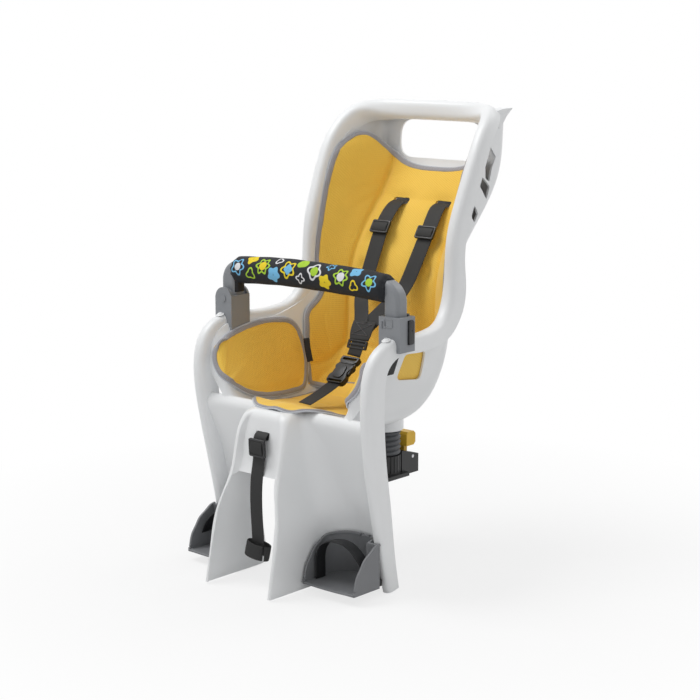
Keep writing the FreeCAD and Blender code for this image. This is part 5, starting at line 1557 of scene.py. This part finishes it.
class SEAT_OT_finishes(bpy.types.Operator):
    """Materials of the shell, plastics, fabrics and metal, also on the CAD pieces that stay"""

    bl_idname = "bike_seat.finishes"
    bl_label = "Finishes"

    def execute(self, context):
        self.plastics(context.scene.seat_colours)
        self.fabrics(context.scene.seat_colours)
        finish_of = {node: finish for finish, nodes in CAD_FINISHES.items() for node in nodes}
        for node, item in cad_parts.items():
            item.data.materials.clear()
            item.data.materials.append(bpy.data.materials[finish_of.get(node, "webbing")])
        return {"FINISHED"}

    def plastics(self, colours):
        """Moulded plastics, rubber and steel: colour, roughness, grain size, unevenness, bump."""
        moulded = moulded_group()
        for name, colour, roughness, grain, uneven, bump, more in (
                ("shell", colours.shell, 0.32, 700, 0.02, 0.03, {"Coat_Weight": 0.15, "Coat_Roughness": 0.25}),
                ("bracket", colours.bracket, 0.42, 1400, 0.05, 0.12, {}),
                ("footrest", colours.footrest, 0.55, 1100, 0.06, 0.15, {}),
                ("lever", colours.lever, 0.38, 900, 0.05, 0.06, {}),
                ("black", colours.black, 0.36, 1200, 0.1, 0.1, {}),
                ("rubber", (0.014, 0.0145, 0.016), 0.6, 800, 0.1, 0.2, {"Specular_IOR_Level": 0.3}),
                ("boot", (0.070, 0.074, 0.080), 0.55, 800, 0.1, 0.2, {}),
                ("steel", (0.55, 0.55, 0.57), 0.3, 2200, 0.08, 0.05, {"Metallic": 1.0})):
            values = {"Colour": rgba(colour), "Grain size": grain, "Unevenness": uneven,
                      "Roughness": roughness}
            finish_material(name, moulded, values, bump, **more)

    def fabrics(self, colours):
        """Webbing, bindings, thread and cloths, which follow the pieces' UVs."""
        weave, honeycomb = weave_group(), honeycomb_group()

        def woven(name, colour, bump, distance, rows=2600, columns=1500, **more):
            """Cloth with its own count of ribs along and across."""
            values = {"Colour": rgba(colour), "Rows": rows, "Columns": columns}
            return finish_material(name, weave, values, bump, distance, **more)

        shade = np.array(colours.padding) * (0.84, 0.74, 0.62)
        finish_material("padding", honeycomb, {"Colour": rgba(colours.padding), "Shade": rgba(shade)},
                        0.6, 0.0008, Sheen_Weight=0.25, Sheen_Roughness=0.5)
        woven("webbing", colours.webbing, 0.5, 0.0004, Specular_IOR_Level=0.06)
        # Backs of the back and seat pads: a brown that is the yellow cloth with painted shade, for the backs
        # seen through the shell's openings
        woven("padding_back", (0.16, 0.125, 0.10), 0.3, 0.0003, 2000, 2000, Sheen_Weight=0.2)
        woven("binding", colours.binding, 0.5, 0.0003, 1800, 2400, Sheen_Weight=0.2)
        woven("piping", colours.piping, 0.3, 0.0002, 2600, 2400, Sheen_Weight=0.2)
        woven("thread", (0.10, 0.10, 0.11), 0.2, 0.0002)
        woven("tag", (0.008, 0.008, 0.009), 0.2, 0.0002, 5000, 5000)
        sleeve = woven("sleeve", (0.022, 0.024, 0.028), 0.25, 0.0003, 3200, 3200, Specular_IOR_Level=0.2)
        printed_sleeve(sleeve)


# Stage

# Area lamps: name, place in metres, power in watts, side in metres; the place that they point at
LAMPS = [("key", (-1.3, -0.9, 3.0), 54, 1.5), ("fill", (2.6, -1.6, 1.3), 7, 2.2),
         ("back", (0.8, 2.3, 2.3), 18, 1.6)]
LAMPS_TO = (0.0, -0.05, 0.28)
# Camera: target and distance in metres, turn and lift in degrees, lens and sensor in millimetres
CAMERA_TO = np.array([0.11445, -0.15, 0.28])
CAMERA_REACH = 2.95365
CAMERA_TURN, CAMERA_LIFT = 41.24, 10.85
CAMERA_LENS, CAMERA_SENSOR = 91.39, 36
FLOOR_HALF = 30000


class SEAT_OT_stage(bpy.types.Operator):
    """Pale floor, soft studio lights and the camera at the photograph's angle"""

    bl_idname = "bike_seat.stage"
    bl_label = "Stage"

    def execute(self, context):
        scene = context.scene
        scene.view_settings.view_transform = "Standard"
        corners = FLOOR_HALF * np.array([(-1, -1, 0), (1, -1, 0), (1, 1, 0), (-1, 1, 0)])
        floor = new_object("floor", corners + (0, 0, cad_box[0][2] / MM - 1), [(0, 1, 2, 3)],
                           material=self.floor_material())
        for lamp in LAMPS:
            self.lamp(*lamp)
        self.world(scene)
        self.camera(scene)
        return {"FINISHED"}

    def floor_material(self):
        """Matt floor that keeps its shadow and turns to plain white away from the seat."""
        material = bpy.data.materials.new("floor")
        material.use_nodes = True
        tree = material.node_tree
        shader = tree.nodes["Principled BSDF"]
        shader.inputs["Base Color"].default_value = (0.80, 0.80, 0.80, 1)
        shader.inputs["Roughness"].default_value = 0.9
        white = tree.nodes.new("ShaderNodeEmission")
        away = vector_length(tree, tree.nodes.new("ShaderNodeTexCoord").outputs["Object"])
        far = clamped(tree, maths(tree, "MULTIPLY", maths(tree, "SUBTRACT", away, 0.35), 0.4), 0.25)
        share = maths(tree, "MULTIPLY", maths(tree, "ADD", far, 0.75), seen_directly(tree))
        mix = tree.nodes.new("ShaderNodeMixShader")
        tree.links.new(share, mix.inputs["Fac"])
        tree.links.new(shader.outputs["BSDF"], mix.inputs[1])
        tree.links.new(white.outputs["Emission"], mix.inputs[2])
        tree.links.new(mix.outputs["Shader"], tree.nodes["Material Output"].inputs["Surface"])
        return material

    def lamp(self, name, place, power, size):
        """Square area lamp that points at the seat."""
        light = bpy.data.lights.new(name, "AREA")
        light.energy = power
        light.size = size
        item = bpy.data.objects.new(name, light)
        item.location = place
        item.rotation_euler = aim(place, LAMPS_TO)
        bpy.context.collection.objects.link(item)

    def world(self, scene):
        """Plain white to the camera and in reflections, and a dimmer light on the object."""
        world = bpy.data.worlds.new("studio")
        world.use_nodes = True
        tree = world.node_tree
        background = tree.nodes["Background"]
        background.inputs["Color"].default_value = (1, 1, 1, 1)
        level = maths(tree, "ADD", maths(tree, "MULTIPLY", seen_directly(tree), 0.54), 0.46)
        tree.links.new(level, background.inputs["Strength"])
        scene.world = world

    def camera(self, scene):
        """Camera at a turn round the seat and a lift above the floor."""
        data = bpy.data.cameras.new("camera")
        data.lens = CAMERA_LENS
        data.sensor_width = CAMERA_SENSOR
        data.clip_end = 100
        item = bpy.data.objects.new("camera", data)
        turn, lift = np.radians(CAMERA_TURN), np.radians(CAMERA_LIFT)
        back = np.array([np.sin(turn) * np.cos(lift), -np.cos(turn) * np.cos(lift), np.sin(lift)])
        item.location = CAMERA_TO + back * CAMERA_REACH
        item.rotation_euler = aim(item.location, CAMERA_TO)
        bpy.context.collection.objects.link(item)
        scene.camera = item


def seen_directly(tree):
    """1 for what the camera, a reflection or a clear material sees, 0 for light that falls on the object."""
    paths = tree.nodes.new("ShaderNodeLightPath")
    seen = maths(tree, "MAXIMUM", paths.outputs["Is Camera Ray"], paths.outputs["Is Glossy Ray"])
    return maths(tree, "MAXIMUM", seen, paths.outputs["Is Transmission Ray"])


def aim(place, target):
    """Euler angles that point an object's -Z from a place to a target."""
    return Vector(np.array(target) - np.array(place)).to_track_quat("-Z", "Y").to_euler()


# Panel and registration

OPERATORS = [SEAT_OT_finishes, SEAT_OT_shell, SEAT_OT_back_pad, SEAT_OT_seat_pad, SEAT_OT_side_pads,
             SEAT_OT_harness, SEAT_OT_lower_straps, SEAT_OT_handrail, SEAT_OT_suspension, SEAT_OT_stage]


class SEAT_PT_panel(bpy.types.Panel):
    """Sizes, colours and steps of the seat"""

    bl_label = "Bike seat"
    bl_idname = "SEAT_PT_panel"
    bl_space_type = "VIEW_3D"
    bl_region_type = "UI"
    bl_category = "Bike seat"

    def draw(self, context):
        for group in (context.scene.seat_colours, context.scene.seat_sizes):
            for name in group.__annotations__:
                self.layout.prop(group, name)
        for operator in OPERATORS:
            self.layout.operator(operator.bl_idname)


CLASSES = [SeatColours, SeatSizes, *OPERATORS, SEAT_PT_panel]


def register():
    """Registers the classes and hangs the settings on the scene."""
    for item in CLASSES:
        bpy.utils.register_class(item)
    bpy.types.Scene.seat_colours = bpy.props.PointerProperty(type=SeatColours)
    bpy.types.Scene.seat_sizes = bpy.props.PointerProperty(type=SeatSizes)


def unregister():
    """Takes the settings and the classes away again."""
    del bpy.types.Scene.seat_sizes
    del bpy.types.Scene.seat_colours
    for item in reversed(CLASSES):
        bpy.utils.unregister_class(item)


def main():
    """Registers the add-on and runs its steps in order."""
    register()
    for operator in OPERATORS:
        group, name = operator.bl_idname.split(".")
        getattr(getattr(bpy.ops, group), name)()


if __name__ == "__main__":
    main()
